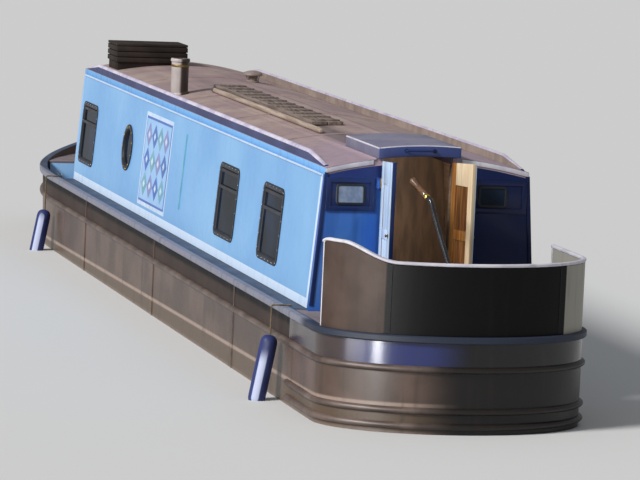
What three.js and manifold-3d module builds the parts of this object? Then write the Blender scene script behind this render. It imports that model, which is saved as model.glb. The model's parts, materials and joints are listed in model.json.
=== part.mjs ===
// A steel canal narrowboat of 45 feet with a rounded stern, an open stern deck behind
// the cabin, an open bow well and a short foredeck. It stands on its flat base plate.
//
// Millimetres. +X points to the bow, +Y to port and +Z up. The origin lies under the middle
// of the boat, in the plane of the base plate's underside.
// Lengths along the boat are measured from the aft face of the rear bulkhead, forward positive.

import * as THREE from "three";
import { mergeVertices } from "three/addons/utils/BufferGeometryUtils.js";
import Module from "manifold-3d";

const wasm = await Module();
wasm.setup();

// Driving dimensions of the hull
const halfBeam = 1005; // to the outside of the side plating
const hullWall = 40; // plate, frames and lining
const baseThickness = 10;
const gunwaleZ = 1208; // top of the side plating
const sternStraight = 750; // rear bulkhead to the start of the rounded stern
const sternRound = 650; // depth of the rounded stern
const cabinLength = 9370;
const wellLength = 1450;
const bowLength = 1496; // well to the stem
const bowStraight = 250; // parallel sides past the front bulkhead
const bowRake = 260; // the stem leans forward by this
const bowSheer = 170; // the gunwale rises to the stem by this
const stemReach = 45; // the stem's block stands ahead of the plating
const stemHalf = 14;
const stemRise = 30; // and above it
const bowFenderReach = 134;
const bowFenderRadius = 62;
const bowFenderZ = [760, 1180];
const strakeReach = 30; // rubbing strakes stand out this far
const strakeHalf = 24; // half their height
const edgeBandHalf = 25; // half the height of the band along the gunwale
const topStrakeDrop = 240; // below the gunwale
const counterStrakeDrops = [540, 650];
const uxterZ = 455; // underside of the flat plate over the propeller
const uxterThickness = 15;
const swimWall = 30;

// Driving dimensions of the decks
const deckTopZ = gunwaleZ - 10;
const deckThickness = 20;
const sternDeckFrontX = 60;
const sideDeckThickness = 15;
const wellFloorZ = 760;
const wellFrontThickness = 30;
const foredeckZ = gunwaleZ + 26;
const lidOffset = 330; // well front to the locker's lid
const lidLength = 520;
const lidHalf = 230;
const lidThickness = 14;
const lidLap = 40; // the lid covers the edge of its way by this
const dolly = { x: -520, half: 850 };
const studSetback = 380; // mooring stud behind the stem

// Driving dimensions of the bulwark round the stern deck
const bulwarkHeight = 500;
const bulwarkEndRise = 120; // to port only
const bulwarkEndAngle = 83; // degrees round from dead astern to its port end
const bulwarkRiseAngles = [33, 64];
const bulwarkFrontX = -60; // to starboard it runs on to the cabin
const railHeight = 26;
const railSeat = 0.9; // the rail over the edge of the bulwark

// Driving dimensions of the cabin
const cabinHalfBottom = 869;
const cabinHalfTop = 785;
const cabinSideHeight = 1056;
const cabinWall = 50;
const roofThickness = 50;
const roofCamber = 100;
const handrailHeight = 78;
const railEnd = 90; // from the roof's end to the handrail
const railTaper = 500; // the handrail comes down to the roof over this length
const partitionThickness = 30;
const floorZ = 180;
const floorThickness = 30;

// Driving dimensions of the doorways, their doors and the slide hatch
const entryOffset = 80; // the rear doorway and its hatch lie this far to port
const doorwayWidth = 540;
const wellDoorWidth = 620;
const wellDoorTop = 2120;
const doorThickness = 35;
const pinStandOff = 40; // the hinge pin stands off the bulkhead, so the leaf swings clear of it
const knuckleRadius = 9;
const hatchOpening = 800;
const hatchLength = 1000;
const hatchHalf = 315;
const hatchRise = 90;
const hatchPlate = 12;
const hatchAftX = -58;
const hatchLift = 8; // clear of the roof
const runnerGap = 0.5; // the hatch slides on its runners
const runnerHalf = 12;
const runnerLength = 1700;
const coamingHalf = 288; // the raised edge ahead of the hatchway

// Driving dimensions of the engine space
const engineX = -100;
const engineLength = 720;
const engineHalf = 215;
const engineZ = 140;
const engineTop = 790;
const casingX = [sternDeckFrontX, 760];
const casingHalf = 420;
const casingTop = 900;
const casingBoard = 25;
const floorAftX = 700;

// Driving dimensions of the stern gear
const rudderX = -950;
const stockRadius = 22;
const stockTop = deckTopZ + 130;
const shaftZ = 235;
const shaftRadius = 19;
const postX = -690;
const hubX = [-800, -724];
const propellerRadius = 180;
const tillerRestAngle = 23; // degrees to port
const neckEnd = 400; // the swan neck carries the wooden grip from here
const neckEndZ = gunwaleZ + 910;
const gripLength = 225;
const gripTilt = 30; // degrees up from level

const gap = 0.3; // between pieces that rest on each other
const bite = 5; // joined shapes reach into each other by this
const past = 10; // a cutting shape runs past the faces it cuts by this
const degree = Math.PI / 180;

// Worked out from the dimensions above
const bowShoulder = cabinLength + bowStraight;
const wellEnd = cabinLength + wellLength;
const stemX = wellEnd + bowLength;
const lidX = wellEnd + lidOffset;
const aftReach = sternStraight + sternRound + strakeReach;
const foreReach = stemX + bowFenderReach;
const bulkheadX = (aftReach - foreReach) / 2;
const sideDeckInner = cabinHalfBottom - cabinWall - 4;
const hullInner = halfBeam - hullWall;

// The windows of each side: middle from the rear bulkhead, middle above the gunwale, width,
// height, and round or not
const windows = [
  { x: 1455, rise: 480, width: 660, height: 570 },
  { x: 2985, rise: 480, width: 680, height: 570 },
  { x: 7030, rise: 530, width: 390, height: 390, round: true },
  { x: 8865, rise: 480, width: 670, height: 550 },
];

const vent = { x: 7150, y: -330 }; // the roof vent's middle

// Inner partitions and the middles of their doorways
const partitions = [
  { name: "partition_rear", x: 2180, middle: 0 },
  { name: "partition_front", x: 7600, middle: -350 },
];

// Side-hung doors: the bulkhead's face, the way it faces, the middle of the pair, half their
// width, and their bottom and top edges
const doorPairs = [
  {
    end: "rear",
    face: 0,
    out: -1,
    middle: entryOffset,
    half: 285,
    low: gunwaleZ + 75,
    hingeTop: 2330,
    freeTop: 2346,
    open: { port: 90, starboard: 107 },
  },
  {
    end: "front",
    face: cabinLength,
    out: 1,
    middle: 0,
    half: 322,
    low: wellFloorZ + 50,
    hingeTop: 2130,
    freeTop: 2130,
    open: { port: 0, starboard: 0 },
  },
];

const sides = [
  { side: "port", sign: 1 },
  { side: "starboard", sign: -1 },
];

const finishes = {
  blacking: { color: "#4b3b38", roughness: 0.55, metalness: 0.2 },
  deckPaint: { color: "#6d6266", roughness: 0.8, metalness: 0.0 },
  cabinBlue: { color: "#6fb4e6", roughness: 0.4, metalness: 0.0 },
  bulkheadBlue: { color: "#1c3f8f", roughness: 0.4, metalness: 0.0 },
  roofPaint: { color: "#7a5f5c", roughness: 0.8, metalness: 0.0 },
  navy: { color: "#22305f", roughness: 0.45, metalness: 0.0 },
  varnish: { color: "#b9772c", roughness: 0.35, metalness: 0.0 },
  plywood: { color: "#a9855a", roughness: 0.6, metalness: 0.0 },
  railWhite: { color: "#d8d8d2", roughness: 0.5, metalness: 0.0 },
  blackPaint: { color: "#17181a", roughness: 0.45, metalness: 0.0 },
  brass: { color: "#b8923a", roughness: 0.3, metalness: 1.0 },
  bronze: { color: "#9a7440", roughness: 0.4, metalness: 1.0 },
  steel: { color: "#77797c", roughness: 0.45, metalness: 1.0 },
  cream: { color: "#e6dcc0", roughness: 0.5, metalness: 0.0 },
  glass: { color: "#20262c", roughness: 0.08, metalness: 0.0 },
  rubber: { color: "#2b3566", roughness: 0.6, metalness: 0.0 },
  rope: { color: "#a58f68", roughness: 0.9, metalness: 0.0 },
  enginePaint: { color: "#3f6b4a", roughness: 0.5, metalness: 0.3 },
};

const boat = new THREE.Group();
boat.position.x = bulkheadX;

// Geometry helpers

function toSolid(geometry) {
  const bare = geometry.clone();
  bare.deleteAttribute("normal");
  bare.deleteAttribute("uv");
  const merged = mergeVertices(bare, 1e-4);
  return new wasm.Manifold(
    new wasm.Mesh({
      numProp: 3,
      vertProperties: new Float32Array(merged.attributes.position.array),
      triVerts: new Uint32Array(merged.index.array),
    }),
  );
}

function toGeometry(solid) {
  const mesh = solid.getMesh();
  const geometry = new THREE.BufferGeometry();
  geometry.setAttribute("position", new THREE.BufferAttribute(mesh.vertProperties, 3));
  geometry.setIndex(new THREE.BufferAttribute(mesh.triVerts, 1));
  return geometry;
}

const join = (...shapes) => toGeometry(shapes.map(toSolid).reduce((a, b) => a.add(b)));
const cut = (shape, ...tools) =>
  toGeometry(tools.map(toSolid).reduce((a, b) => a.subtract(b), toSolid(shape)));
const common = (a, b) => toGeometry(toSolid(a).intersect(toSolid(b)));

function node(name, geometry, finish, parent = boat) {
  const mesh = new THREE.Mesh(geometry, new THREE.MeshStandardMaterial(finishes[finish]));
  mesh.name = name;
  parent.add(mesh);
}

function shapeOf(points, holes = []) {
  const shape = new THREE.Shape(points.map(([a, b]) => new THREE.Vector2(a, b)));
  shape.holes = holes.map((hole) => new THREE.Path(hole.map(([a, b]) => new THREE.Vector2(a, b))));
  return shape;
}

function extruded(points, depth, holes) {
  return new THREE.ExtrudeGeometry(shapeOf(points, holes), { depth, bevelEnabled: false });
}

// A plan outline of [x, y] points, standing from z0 to z1
const upright = (points, z0, z1, holes) => extruded(points, z1 - z0, holes).translate(0, 0, z0);

// A cross-section of [y, z] points, running from x0 to x1
function lengthwise(points, x0, x1) {
  const turn = new THREE.Matrix4().makeBasis(
    new THREE.Vector3(0, 1, 0),
    new THREE.Vector3(0, 0, 1),
    new THREE.Vector3(1, 0, 0),
  );
  return extruded(points, x1 - x0).applyMatrix4(turn).translate(x0, 0, 0);
}

function box(x0, x1, y0, y1, z0, z1) {
  const shape = new THREE.BoxGeometry(x1 - x0, y1 - y0, z1 - z0);
  return shape.translate((x0 + x1) / 2, (y0 + y1) / 2, (z0 + z1) / 2);
}

// A round bar along "x", "y" or "z" through the point [x, y, z], from and to on that axis
function bar(axis, radius, from, to, [x, y, z], facets = 16) {
  const shape = new THREE.CylinderGeometry(radius, radius, to - from, facets);
  if (axis === "x") shape.rotateZ(-Math.PI / 2);
  if (axis === "z") shape.rotateX(Math.PI / 2);
  const middle = (from + to) / 2;
  const centre = { x: [middle, y, z], y: [x, middle, z], z: [x, y, middle] }[axis];
  return shape.translate(...centre);
}

// A turned piece standing on z = 0, from [radius, height] points
function turned(profile, facets = 20) {
  const points = profile.map(([radius, height]) => new THREE.Vector2(radius, height));
  return new THREE.LatheGeometry(points, facets).rotateX(Math.PI / 2);
}

// A closed solid through cross-sections that all have the same number of [x, y, z] points
function skin(sections) {
  const count = sections[0].length;
  const last = (sections.length - 1) * count;
  const triangles = [];
  for (let i = 0; i < sections.length - 1; i++) {
    for (let j = 0; j < count; j++) {
      const a = i * count + j;
      const b = i * count + ((j + 1) % count);
      triangles.push([a, b, b + count], [a, b + count, a + count]);
    }
  }
  for (let j = 1; j < count - 1; j++) {
    triangles.push([0, j + 1, j], [last, last + j, last + j + 1]);
  }
  const points = sections.flat().map((p) => new THREE.Vector3(...p));
  const sixVolumes = triangles.reduce(
    (sum, [a, b, c]) => sum + points[a].dot(points[b].clone().cross(points[c])),
    0,
  );
  const facing = sixVolumes > 0 ? triangles : triangles.map(([a, b, c]) => [a, c, b]);
  const geometry = new THREE.BufferGeometry();
  geometry.setAttribute("position", new THREE.Float32BufferAttribute(sections.flat(2), 3));
  geometry.setIndex(facing.flat());
  return geometry;
}

// A tube or bar along a smooth curve through points
function swept(points, radius, steps, facets) {
  const ring = new THREE.Shape();
  ring.absarc(0, 0, radius, 0, 2 * Math.PI, false);
  const path = new THREE.CatmullRomCurve3(points.map((p) => new THREE.Vector3(...p)));
  return new THREE.ExtrudeGeometry(ring, {
    steps,
    curveSegments: facets / 2,
    extrudePath: path,
    bevelEnabled: false,
  });
}

const mirrored = (points) => points.map(([x, y]) => [x, -y]);
const bothSides = (port) => [...port, ...mirrored(port).reverse()];
const inOrder = (a, b) => (a < b ? [a, b] : [b, a]);

// The same piece on the other side of the boat
function flipY(geometry) {
  const flipped = geometry.clone().scale(1, -1, 1);
  const order = flipped.index.array;
  for (let i = 0; i < order.length; i += 3) {
    [order[i + 1], order[i + 2]] = [order[i + 2], order[i + 1]];
  }
  return flipped;
}

// Outlines of the hull in plan

const sternSteps = 28;

// The rounded stern from the port side round to starboard, moved in from the plating by inset
function sternOutline(inset, frontX) {
  const points = [[frontX, halfBeam - inset]];
  for (let i = 0; i <= sternSteps; i++) {
    const angle = Math.PI / 2 + (Math.PI * i) / sternSteps;
    points.push([
      -sternStraight + (sternRound - inset) * Math.cos(angle),
      (halfBeam - inset) * Math.sin(angle),
    ]);
  }
  points.push([frontX, inset - halfBeam]);
  return points;
}

const sternWall = (outer, inner, frontX, z0, z1) =>
  upright([...sternOutline(outer, frontX), ...sternOutline(inner, frontX).reverse()], z0, z1);

// The underwater hull narrows aft to the stern post: half widths at their places
const swimStations = [
  { x: -650, half: 70 },
  { x: -250, half: 330 },
  { x: 250, half: 590 },
  { x: 900, half: 830 },
  { x: 1800, half: halfBeam },
];
const swimAftX = swimStations[0].x;
const swimFrontX = swimStations.at(-1).x;
const swimOutline = (inset) => swimStations.map(({ x, half }) => [x, half - inset]);

// The bow closes from the shoulder to the stem. Step runs from 0 to 1
const bowSteps = 12;
const bowEndStep = 0.975;
const bowTopFullness = 1.4;
const bowBottomFullness = 1.2;
const bowStepsAlong = Array.from({ length: bowSteps + 1 }, (_, i) => (bowEndStep * i) / bowSteps);
const bowTopZ = (step) => gunwaleZ + bowSheer * step * step;

function bowPoint(step, z, out) {
  const rise = (z - baseThickness) / (bowTopZ(step) - baseThickness);
  const widthOf = (t) => {
    const bottom = Math.cos((Math.PI / 2) * t ** bowBottomFullness);
    const top = Math.cos((Math.PI / 2) * t ** bowTopFullness);
    return halfBeam * (bottom + (top - bottom) * rise);
  };
  const length = stemX - bowRake + bowRake * rise - bowShoulder;
  const nudge = 0.002;
  const slope = (widthOf(step + nudge) - widthOf(Math.max(step - nudge, 0))) / nudge / 2;
  const normal = new THREE.Vector2(-slope, length).normalize();
  return [bowShoulder + step * length + out * normal.x, widthOf(step) + out * normal.y, z];
}

const bowLine = (z, out) => bowStepsAlong.map((step) => bowPoint(step, z, out));

// The bow's plating on the port side, with its inner face moved in by clear
function bowPlating(clear) {
  const bottom = baseThickness + gap;
  return skin(
    bowStepsAlong.map((step) => [
      bowPoint(step, bottom, 0),
      bowPoint(step, bowTopZ(step), 0),
      bowPoint(step, bowTopZ(step), -hullWall - clear),
      bowPoint(step, bottom, -hullWall - clear),
    ]),
  );
}

// A flat piece inside the bow: its outline runs in the middle of the plating, which then cuts it
function insideBow(z0, z1, x0, x1) {
  const half = hullInner - gap;
  const line = bowLine((z0 + z1) / 2, -hullWall / 2);
  const port = [[cabinLength, half], [bowShoulder - gap, half], ...line];
  const plan = upright(bothSides(port), z0, z1);
  const ends = box(x0, x1, -halfBeam, halfBeam, z0 - past, z1 + past);
  const plating = bowPlating(gap);
  return cut(common(plan, ends), plating, flipY(plating));
}

function bowBand(drop, halfHeight) {
  return skin(
    bowStepsAlong.map((step) => {
      const z = bowTopZ(step) - drop;
      return [
        bowPoint(step, z - halfHeight, -bite),
        bowPoint(step, z - halfHeight, strakeReach),
        bowPoint(step, z + halfHeight, strakeReach),
        bowPoint(step, z + halfHeight, -bite),
      ];
    }),
  );
}

// Inner half width of the bow at a place and height
function bowHalfAt(x, z) {
  const outline = bowLine(z, -hullWall - gap);
  const i = Math.max(1, outline.findIndex((p) => p[0] >= x));
  const [a, b] = [outline[i - 1], outline[i]];
  return a[1] + ((b[1] - a[1]) * (x - a[0])) / (b[0] - a[0]);
}

// Hull

function buildBasePlate() {
  const tip = [stemX - bowRake + 20, 12];
  const bow = bowLine(baseThickness, 0).slice(1);
  const port = [...swimOutline(0), [bowShoulder, halfBeam], ...bow, tip];
  node("base_plate", upright(bothSides(port), 0, baseThickness), "blacking");
}

// Each side plate with its rubbing strake, the band along the gunwale and the side deck
function buildHullSides() {
  const frontX = bowShoulder - gap;
  const bandAt = (z, halfHeight) =>
    box(gap, frontX, halfBeam - bite, halfBeam + strakeReach, z - halfHeight, z + halfHeight);
  const deckX = [sternDeckFrontX + gap, cabinLength - gap];
  const plate = join(
    box(gap, frontX, hullInner, halfBeam, uxterZ + gap, gunwaleZ),
    box(swimFrontX + gap, frontX, hullInner, halfBeam, baseThickness + gap, uxterZ + 1),
    bandAt(gunwaleZ - edgeBandHalf, edgeBandHalf),
    bandAt(gunwaleZ - topStrakeDrop, strakeHalf),
    box(...deckX, sideDeckInner, hullInner + bite, gunwaleZ - sideDeckThickness, gunwaleZ),
  );
  node("hull_side_port", plate, "blacking");
  node("hull_side_starboard", flipY(plate), "blacking");
}

// The stem's block in front of the bow plates, moved ahead and made wider all around
function stemBlock(ahead, around) {
  const section = (z) => {
    const [x, y] = bowPoint(bowEndStep, z, strakeReach);
    const front = bowPoint(1, z, 0)[0] + stemReach + ahead;
    return [
      [x + gap - around, -y - around, z],
      [front, -stemHalf - around, z],
      [front, stemHalf + around, z],
      [x + gap - around, y + around, z],
    ];
  };
  return skin([section(baseThickness + gap), section(bowTopZ(1) + stemRise)]);
}

function buildBow() {
  const bands = [bowBand(edgeBandHalf, edgeBandHalf), bowBand(topStrakeDrop, strakeHalf)];
  const banded = join(bowPlating(0), ...bands);
  node("bow_port", banded, "blacking");
  node("bow_starboard", flipY(banded), "blacking");
  node("stem_post", stemBlock(0, 0), "blacking");
  const fenderX = stemX + bowFenderReach - bowFenderRadius;
  const fender = join(
    bar("z", bowFenderRadius, ...bowFenderZ, [fenderX, 0, 0], 20),
    box(stemX - 60, fenderX, -stemHalf, stemHalf, 1080, 1110),
  );
  node("bow_fender", cut(fender, stemBlock(gap, 20)), "rope");
}

// The two plates of the underwater stern, welded to the post that carries the shaft's tube
function buildSwim() {
  const z = [baseThickness + gap, uxterZ - gap];
  const plan = [...swimOutline(0), ...swimOutline(swimWall).reverse()];
  const tubeFrontX = postX + 210;
  const tube = bar("x", 34, postX - 12, tubeFrontX, [0, 0, shaftZ], 24);
  const bore = bar("x", shaftRadius + 0.6, postX - 30, tubeFrontX + past, [0, 0, shaftZ], 20);
  const postHalf = swimStations[0].half;
  const post = box(postX, swimAftX + 1, -postHalf, postHalf, ...z);
  const web = box(swimAftX - bite, tubeFrontX, -42, 42, shaftZ - 12, shaftZ + 12);
  const plates = [upright(plan, ...z), upright(mirrored(plan).reverse(), ...z)];
  node("swim", cut(join(...plates, post, tube, web), bore), "blacking");
}

// The flat plate over the propeller, with the rudder's tube up to the deck
function buildUxterPlate() {
  const frontX = swimFrontX - 60;
  const edge = [...swimOutline(swimWall).slice(0, -1), [frontX, halfBeam - 2 * swimWall]];
  const outline = [...sternOutline(hullWall + gap, frontX), ...mirrored(edge).reverse(), ...edge];
  const tube = bar("z", 30, uxterZ + bite, deckTopZ + 30, [rudderX, 0, 0], 24);
  const way = bar("z", stockRadius + 0.5, uxterZ - past, deckTopZ + 50, [rudderX, 0, 0], 24);
  const plate = upright(outline, uxterZ, uxterZ + uxterThickness);
  node("uxter_plate", cut(join(plate, tube), way), "blacking");
}

function buildCounter() {
  const bottomZ = uxterZ - 25;
  const band = (middle, halfHeight) =>
    sternWall(-strakeReach, bite, -gap, middle - halfHeight, middle + halfHeight);
  const strakes = [topStrakeDrop, ...counterStrakeDrops].map((drop) => band(gunwaleZ - drop, strakeHalf));
  const wall = sternWall(0, hullWall, -gap, bottomZ, gunwaleZ);
  node("stern_counter", join(wall, band(gunwaleZ - edgeBandHalf, edgeBandHalf), ...strakes), "blacking");

  const dollyProfile = [[0, -5], [55, -5], [55, 10], [28, 20], [24, 90], [42, 104], [38, 118], [0, 122]];
  const dollies = sides.map(({ sign }) =>
    turned(dollyProfile, 16).translate(dolly.x, sign * dolly.half, deckTopZ),
  );
  const plan = sternOutline(hullWall + gap, sternDeckFrontX);
  const deck = upright(plan, deckTopZ - deckThickness, deckTopZ);
  const stockHole = bar("z", 30 + gap, deckTopZ - 60, deckTopZ + past, [rudderX, 0, 0], 24);
  node("stern_deck", join(cut(deck, stockHole), ...dollies), "deckPaint");
}

// The raised steel panel round the stern deck and the rail on its top
function buildBulwark() {
  const steps = 36;
  const cornerAngle = 76;
  const cornerDrop = 20;
  const heightAt = (angle) => {
    const rise = THREE.MathUtils.smoothstep(angle, ...bulwarkRiseAngles);
    const corner = Math.max(0, angle - cornerAngle) / (bulwarkEndAngle - cornerAngle);
    return bulwarkHeight + bulwarkEndRise * rise - cornerDrop * corner * corner;
  };
  const place = ({ angle, ahead }, inset, z) => [
    -sternStraight - (sternRound - inset) * Math.cos(angle * degree) + ahead,
    (halfBeam - inset) * Math.sin(angle * degree),
    z,
  ];
  const turn = bulwarkEndAngle + 90;
  const round = Array.from({ length: steps + 1 }, (_, i) => ({
    angle: bulwarkEndAngle - (turn * i) / steps,
    ahead: 0,
  }));
  const stations = [...round, { angle: -90, ahead: bulwarkFrontX + sternStraight }];
  const strip = (outer, inner, low, high) =>
    skin(
      stations.map((station) => {
        const top = gunwaleZ + heightAt(station.angle);
        return [
          place(station, outer, low(top)),
          place(station, outer, high(top)),
          place(station, inner, high(top)),
          place(station, inner, low(top)),
        ];
      }),
    );
  const panel = strip(8, 32, () => gunwaleZ + gap, (top) => top);
  const rail = strip(0, 40, (top) => top + railSeat, (top) => top + railHeight);
  node("stern_bulwark", panel, "blackPaint");
  node("bulwark_rail", rail, "railWhite");
}

// Cabin

const sideTilt = Math.atan((cabinHalfBottom - cabinHalfTop) / cabinSideHeight);
const roofEdgeZ = gunwaleZ + cabinSideHeight;
const roofRadius = (cabinHalfTop ** 2 + roofCamber ** 2) / (2 * roofCamber);
const roofZ = (y) => roofEdgeZ + roofCamber - roofRadius + Math.sqrt(roofRadius ** 2 - y ** 2);
const roofSteps = 24;

// Points along the roof's curve between two places across the boat, raised by lift
function roofArc(y0, y1, lift) {
  return Array.from({ length: roofSteps + 1 }, (_, i) => {
    const y = y0 + ((y1 - y0) * i) / roofSteps;
    return [y, roofZ(y) + lift];
  });
}

// A band that follows the roof's curve, from low to high above it
const roofBand = (y0, y1, low, high) => [...roofArc(y0, y1, high), ...roofArc(y1, y0, low)];

// A shape with its foot cut to the roof's curve, so that it stands on the roof
function seatedOnRoof(shape, x, reach) {
  const foot = [...roofArc(cabinHalfTop, -cabinHalfTop, gap), [-cabinHalfTop, 2000], [cabinHalfTop, 2000]];
  return cut(shape, lengthwise(foot, x - reach, x + reach));
}

const wallTopZ = roofZ(cabinHalfTop) - roofThickness;
const cabinHalfAt = (z, inset) => cabinHalfBottom - inset - (z - gunwaleZ) * Math.tan(sideTilt);

// The inside of the cabin across the boat, from bottomZ up to the roof's underside
function cabinSection(bottomZ, inset) {
  const lift = -roofThickness - gap;
  const half = cabinHalfAt(wallTopZ, inset);
  const bottomHalf = cabinHalfAt(bottomZ, inset);
  const foot = [bottomHalf, bottomZ];
  return [foot, [half, roofZ(half) + lift], ...roofArc(half, -half, lift), [-bottomHalf, bottomZ]];
}

// The same section with the hull's inside below it, round the edges of the side decks
function cabinAndHullSection(bottomZ, inset) {
  const inner = hullInner - gap;
  const notch = sideDeckInner - gap;
  const shelfZ = gunwaleZ - sideDeckThickness - gap;
  const port = [[inner, bottomZ], [inner, shelfZ], [notch, shelfZ], [notch, gunwaleZ + gap]];
  const starboard = port.map(([y, z]) => [-y, z]).reverse();
  return [...cabinSection(gunwaleZ + gap, inset), ...starboard, ...port];
}

// A window's outline in the plane of the cabin side, made smaller all round by shrink
function windowOutline({ x, rise, width, height, round }, shrink) {
  const w = width / 2 - shrink;
  const h = height / 2 - shrink;
  const radius = round ? w : 60 - shrink;
  const perCorner = round ? 8 : 4;
  const corners = [
    { cx: w - radius, cy: h - radius, start: 0 },
    { cx: radius - w, cy: h - radius, start: 90 },
    { cx: radius - w, cy: radius - h, start: 180 },
    { cx: w - radius, cy: radius - h, start: 270 },
  ];
  const points = [];
  for (const { cx, cy, start } of corners) {
    const first = round && start > 0 ? 1 : 0;
    const last = round && start === 270 ? perCorner - 1 : perCorner;
    for (let i = first; i <= last; i++) {
      const angle = (start + (90 * i) / perCorner) * degree;
      points.push([x + cx + radius * Math.cos(angle), rise + cy + radius * Math.sin(angle)]);
    }
  }
  return points;
}

function buildCabinSides() {
  const topY = (wallTopZ - gunwaleZ - 2 * gap) / Math.cos(sideTilt);
  const footY = cabinWall * Math.sin(sideTilt) + gap;
  const [aftX, frontX] = [cabinWall + gap, cabinLength - cabinWall - gap];
  const plan = [[aftX, footY], [frontX, footY], [frontX, topY], [aftX, topY]];
  const openings = windows.map((w) => windowOutline(w, 0));
  const frame = { proud: 3, depth: 47, width: 32 };
  const pane = { depth: 8, setBack: 12, lap: 4 };
  for (const { side, sign } of sides) {
    // In this group x runs forward and y up the sloping side. Depth runs inward on port,
    // outward on starboard
    const group = new THREE.Group();
    group.position.set(0, sign * cabinHalfBottom, gunwaleZ);
    group.rotation.x = Math.PI / 2 + sign * sideTilt;
    boat.add(group);
    const layer = (outline, from, depth, holes) =>
      extruded(outline, depth, holes).translate(0, 0, sign > 0 ? from : -from - depth);
    node(`cabin_side_${side}`, layer(plan, 0, cabinWall, openings), "cabinBlue", group);
    windows.forEach((w, i) => {
      const inside = windowOutline(w, frame.width);
      const surround = layer(windowOutline(w, 0.4), -frame.proud, frame.depth, [inside]);
      const glass = layer(windowOutline(w, frame.width - pane.lap), pane.setBack, pane.depth);
      node(`window_${side}_${i + 1}`, join(surround, glass), "glass", group);
    });
  }
}

// The roof with its hatchway, the hatch's runners and coaming, then the vent and handrails on it
function buildRoof() {
  const half = cabinHalfTop;
  const slab = lengthwise(roofBand(half, -half, -roofThickness, 0), 0, cabinLength);
  const wayY = [entryOffset - doorwayWidth / 2, entryOffset + doorwayWidth / 2];
  const hatchway = box(-past, hatchOpening, ...wayY, roofEdgeZ - 300, roofEdgeZ + 300);
  const runnerAt = (y) =>
    lengthwise(roofBand(y + runnerHalf, y - runnerHalf, -bite, hatchLift - runnerGap), 0, runnerLength);
  const runnerOut = hatchHalf - hatchPlate / 2;
  const runners = sides.map(({ sign }) => runnerAt(entryOffset + sign * runnerOut));
  const coamingPlan = roofBand(entryOffset + coamingHalf, entryOffset - coamingHalf, -bite, 62);
  const coaming = lengthwise(coamingPlan, hatchOpening, hatchOpening + 25);
  node("roof", join(cut(slab, hatchway), ...runners, coaming), "roofPaint");

  const ventFoot = [[0, -20], [62, -20], [62, 14], [40, 24], [40, 62]];
  const ventProfile = [...ventFoot, [88, 66], [82, 84], [50, 100], [0, 106]];
  const mushroom = turned(ventProfile, 16).translate(vent.x, vent.y, roofZ(vent.y));
  node("roof_vent", seatedOnRoof(mushroom, vent.x, 100), "railWhite");
  for (const { side, sign } of sides) {
    const outer = sign * (half - 8);
    const inner = sign * (half - 40);
    const railAt = (x, height) => [
      [x, outer, roofZ(outer) + 0.5],
      [x, outer - sign * 4, roofZ(outer - sign * 4) + height],
      [x, inner, roofZ(inner) + height],
      [x, inner, roofZ(inner) + 0.5],
    ];
    const rail = [
      railAt(railEnd, 12),
      railAt(railEnd + railTaper, handrailHeight),
      railAt(cabinLength - railEnd - railTaper, handrailHeight),
      railAt(cabinLength - railEnd, 12),
    ];
    node(`handrail_${side}`, join(skin(rail)), "navy");
  }
}

// The sliding hatch over the rear doorway: a plate with a skirt on three sides
function buildHatch() {
  const [y0, y1] = [entryOffset + hatchHalf, entryOffset - hatchHalf];
  const block = lengthwise(roofBand(y0, y1, hatchLift, hatchRise), hatchAftX, hatchAftX + hatchLength);
  const hollow = lengthwise(
    roofBand(y0 - hatchPlate, y1 + hatchPlate, -past, hatchRise - hatchPlate),
    hatchAftX + hatchPlate,
    hatchAftX + hatchLength + past,
  );
  node("slide_hatch", cut(block, hollow), "navy");
}

// The hinge plates on the bulkhead, each beside its door's knuckle
const hingeHeights = ({ low, hingeTop }) => [low + 130, hingeTop - 200];

function hingePlates(pair) {
  const { face, out, middle, half } = pair;
  const x = inOrder(face - out * bite, face + out * (pinStandOff + 8));
  return sides.flatMap(({ sign }) => {
    const edge = middle + sign * half;
    const y = inOrder(edge + sign * (knuckleRadius + 0.6), edge + sign * 22);
    return hingeHeights(pair).map((z) => box(...x, ...y, z - 5, z + 75));
  });
}

function buildBulkheads() {
  const [rearPair, frontPair] = doorPairs;
  const doorway = (x0, x1, middle, half, z0, z1) =>
    box(x0 - past, x1 + past, middle - half, middle + half, z0, z1);
  const rearDoorway = doorway(0, cabinWall, entryOffset, doorwayWidth / 2, gunwaleZ + 60, 2600);
  const rear = cut(lengthwise(cabinSection(deckTopZ + gap, 0), 0, cabinWall), rearDoorway);
  node("rear_bulkhead", join(rear, ...hingePlates(rearPair)), "bulkheadBlue");

  const frontX = [cabinLength - cabinWall, cabinLength];
  const wall = lengthwise(cabinAndHullSection(baseThickness + gap, 0), ...frontX);
  const wellDoorway = doorway(...frontX, 0, wellDoorWidth / 2, wellFloorZ + 60, wellDoorTop);
  node("front_bulkhead", join(cut(wall, wellDoorway), ...hingePlates(frontPair)), "cabinBlue");

  const section = cabinAndHullSection(floorZ + gap, cabinWall + 2);
  for (const { name, x, middle } of partitions) {
    const thick = [x, x + partitionThickness];
    const way = doorway(...thick, middle, 300, floorZ + 5, 2050);
    node(name, cut(lengthwise(section, ...thick), way), "plywood");
  }
}

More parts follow.
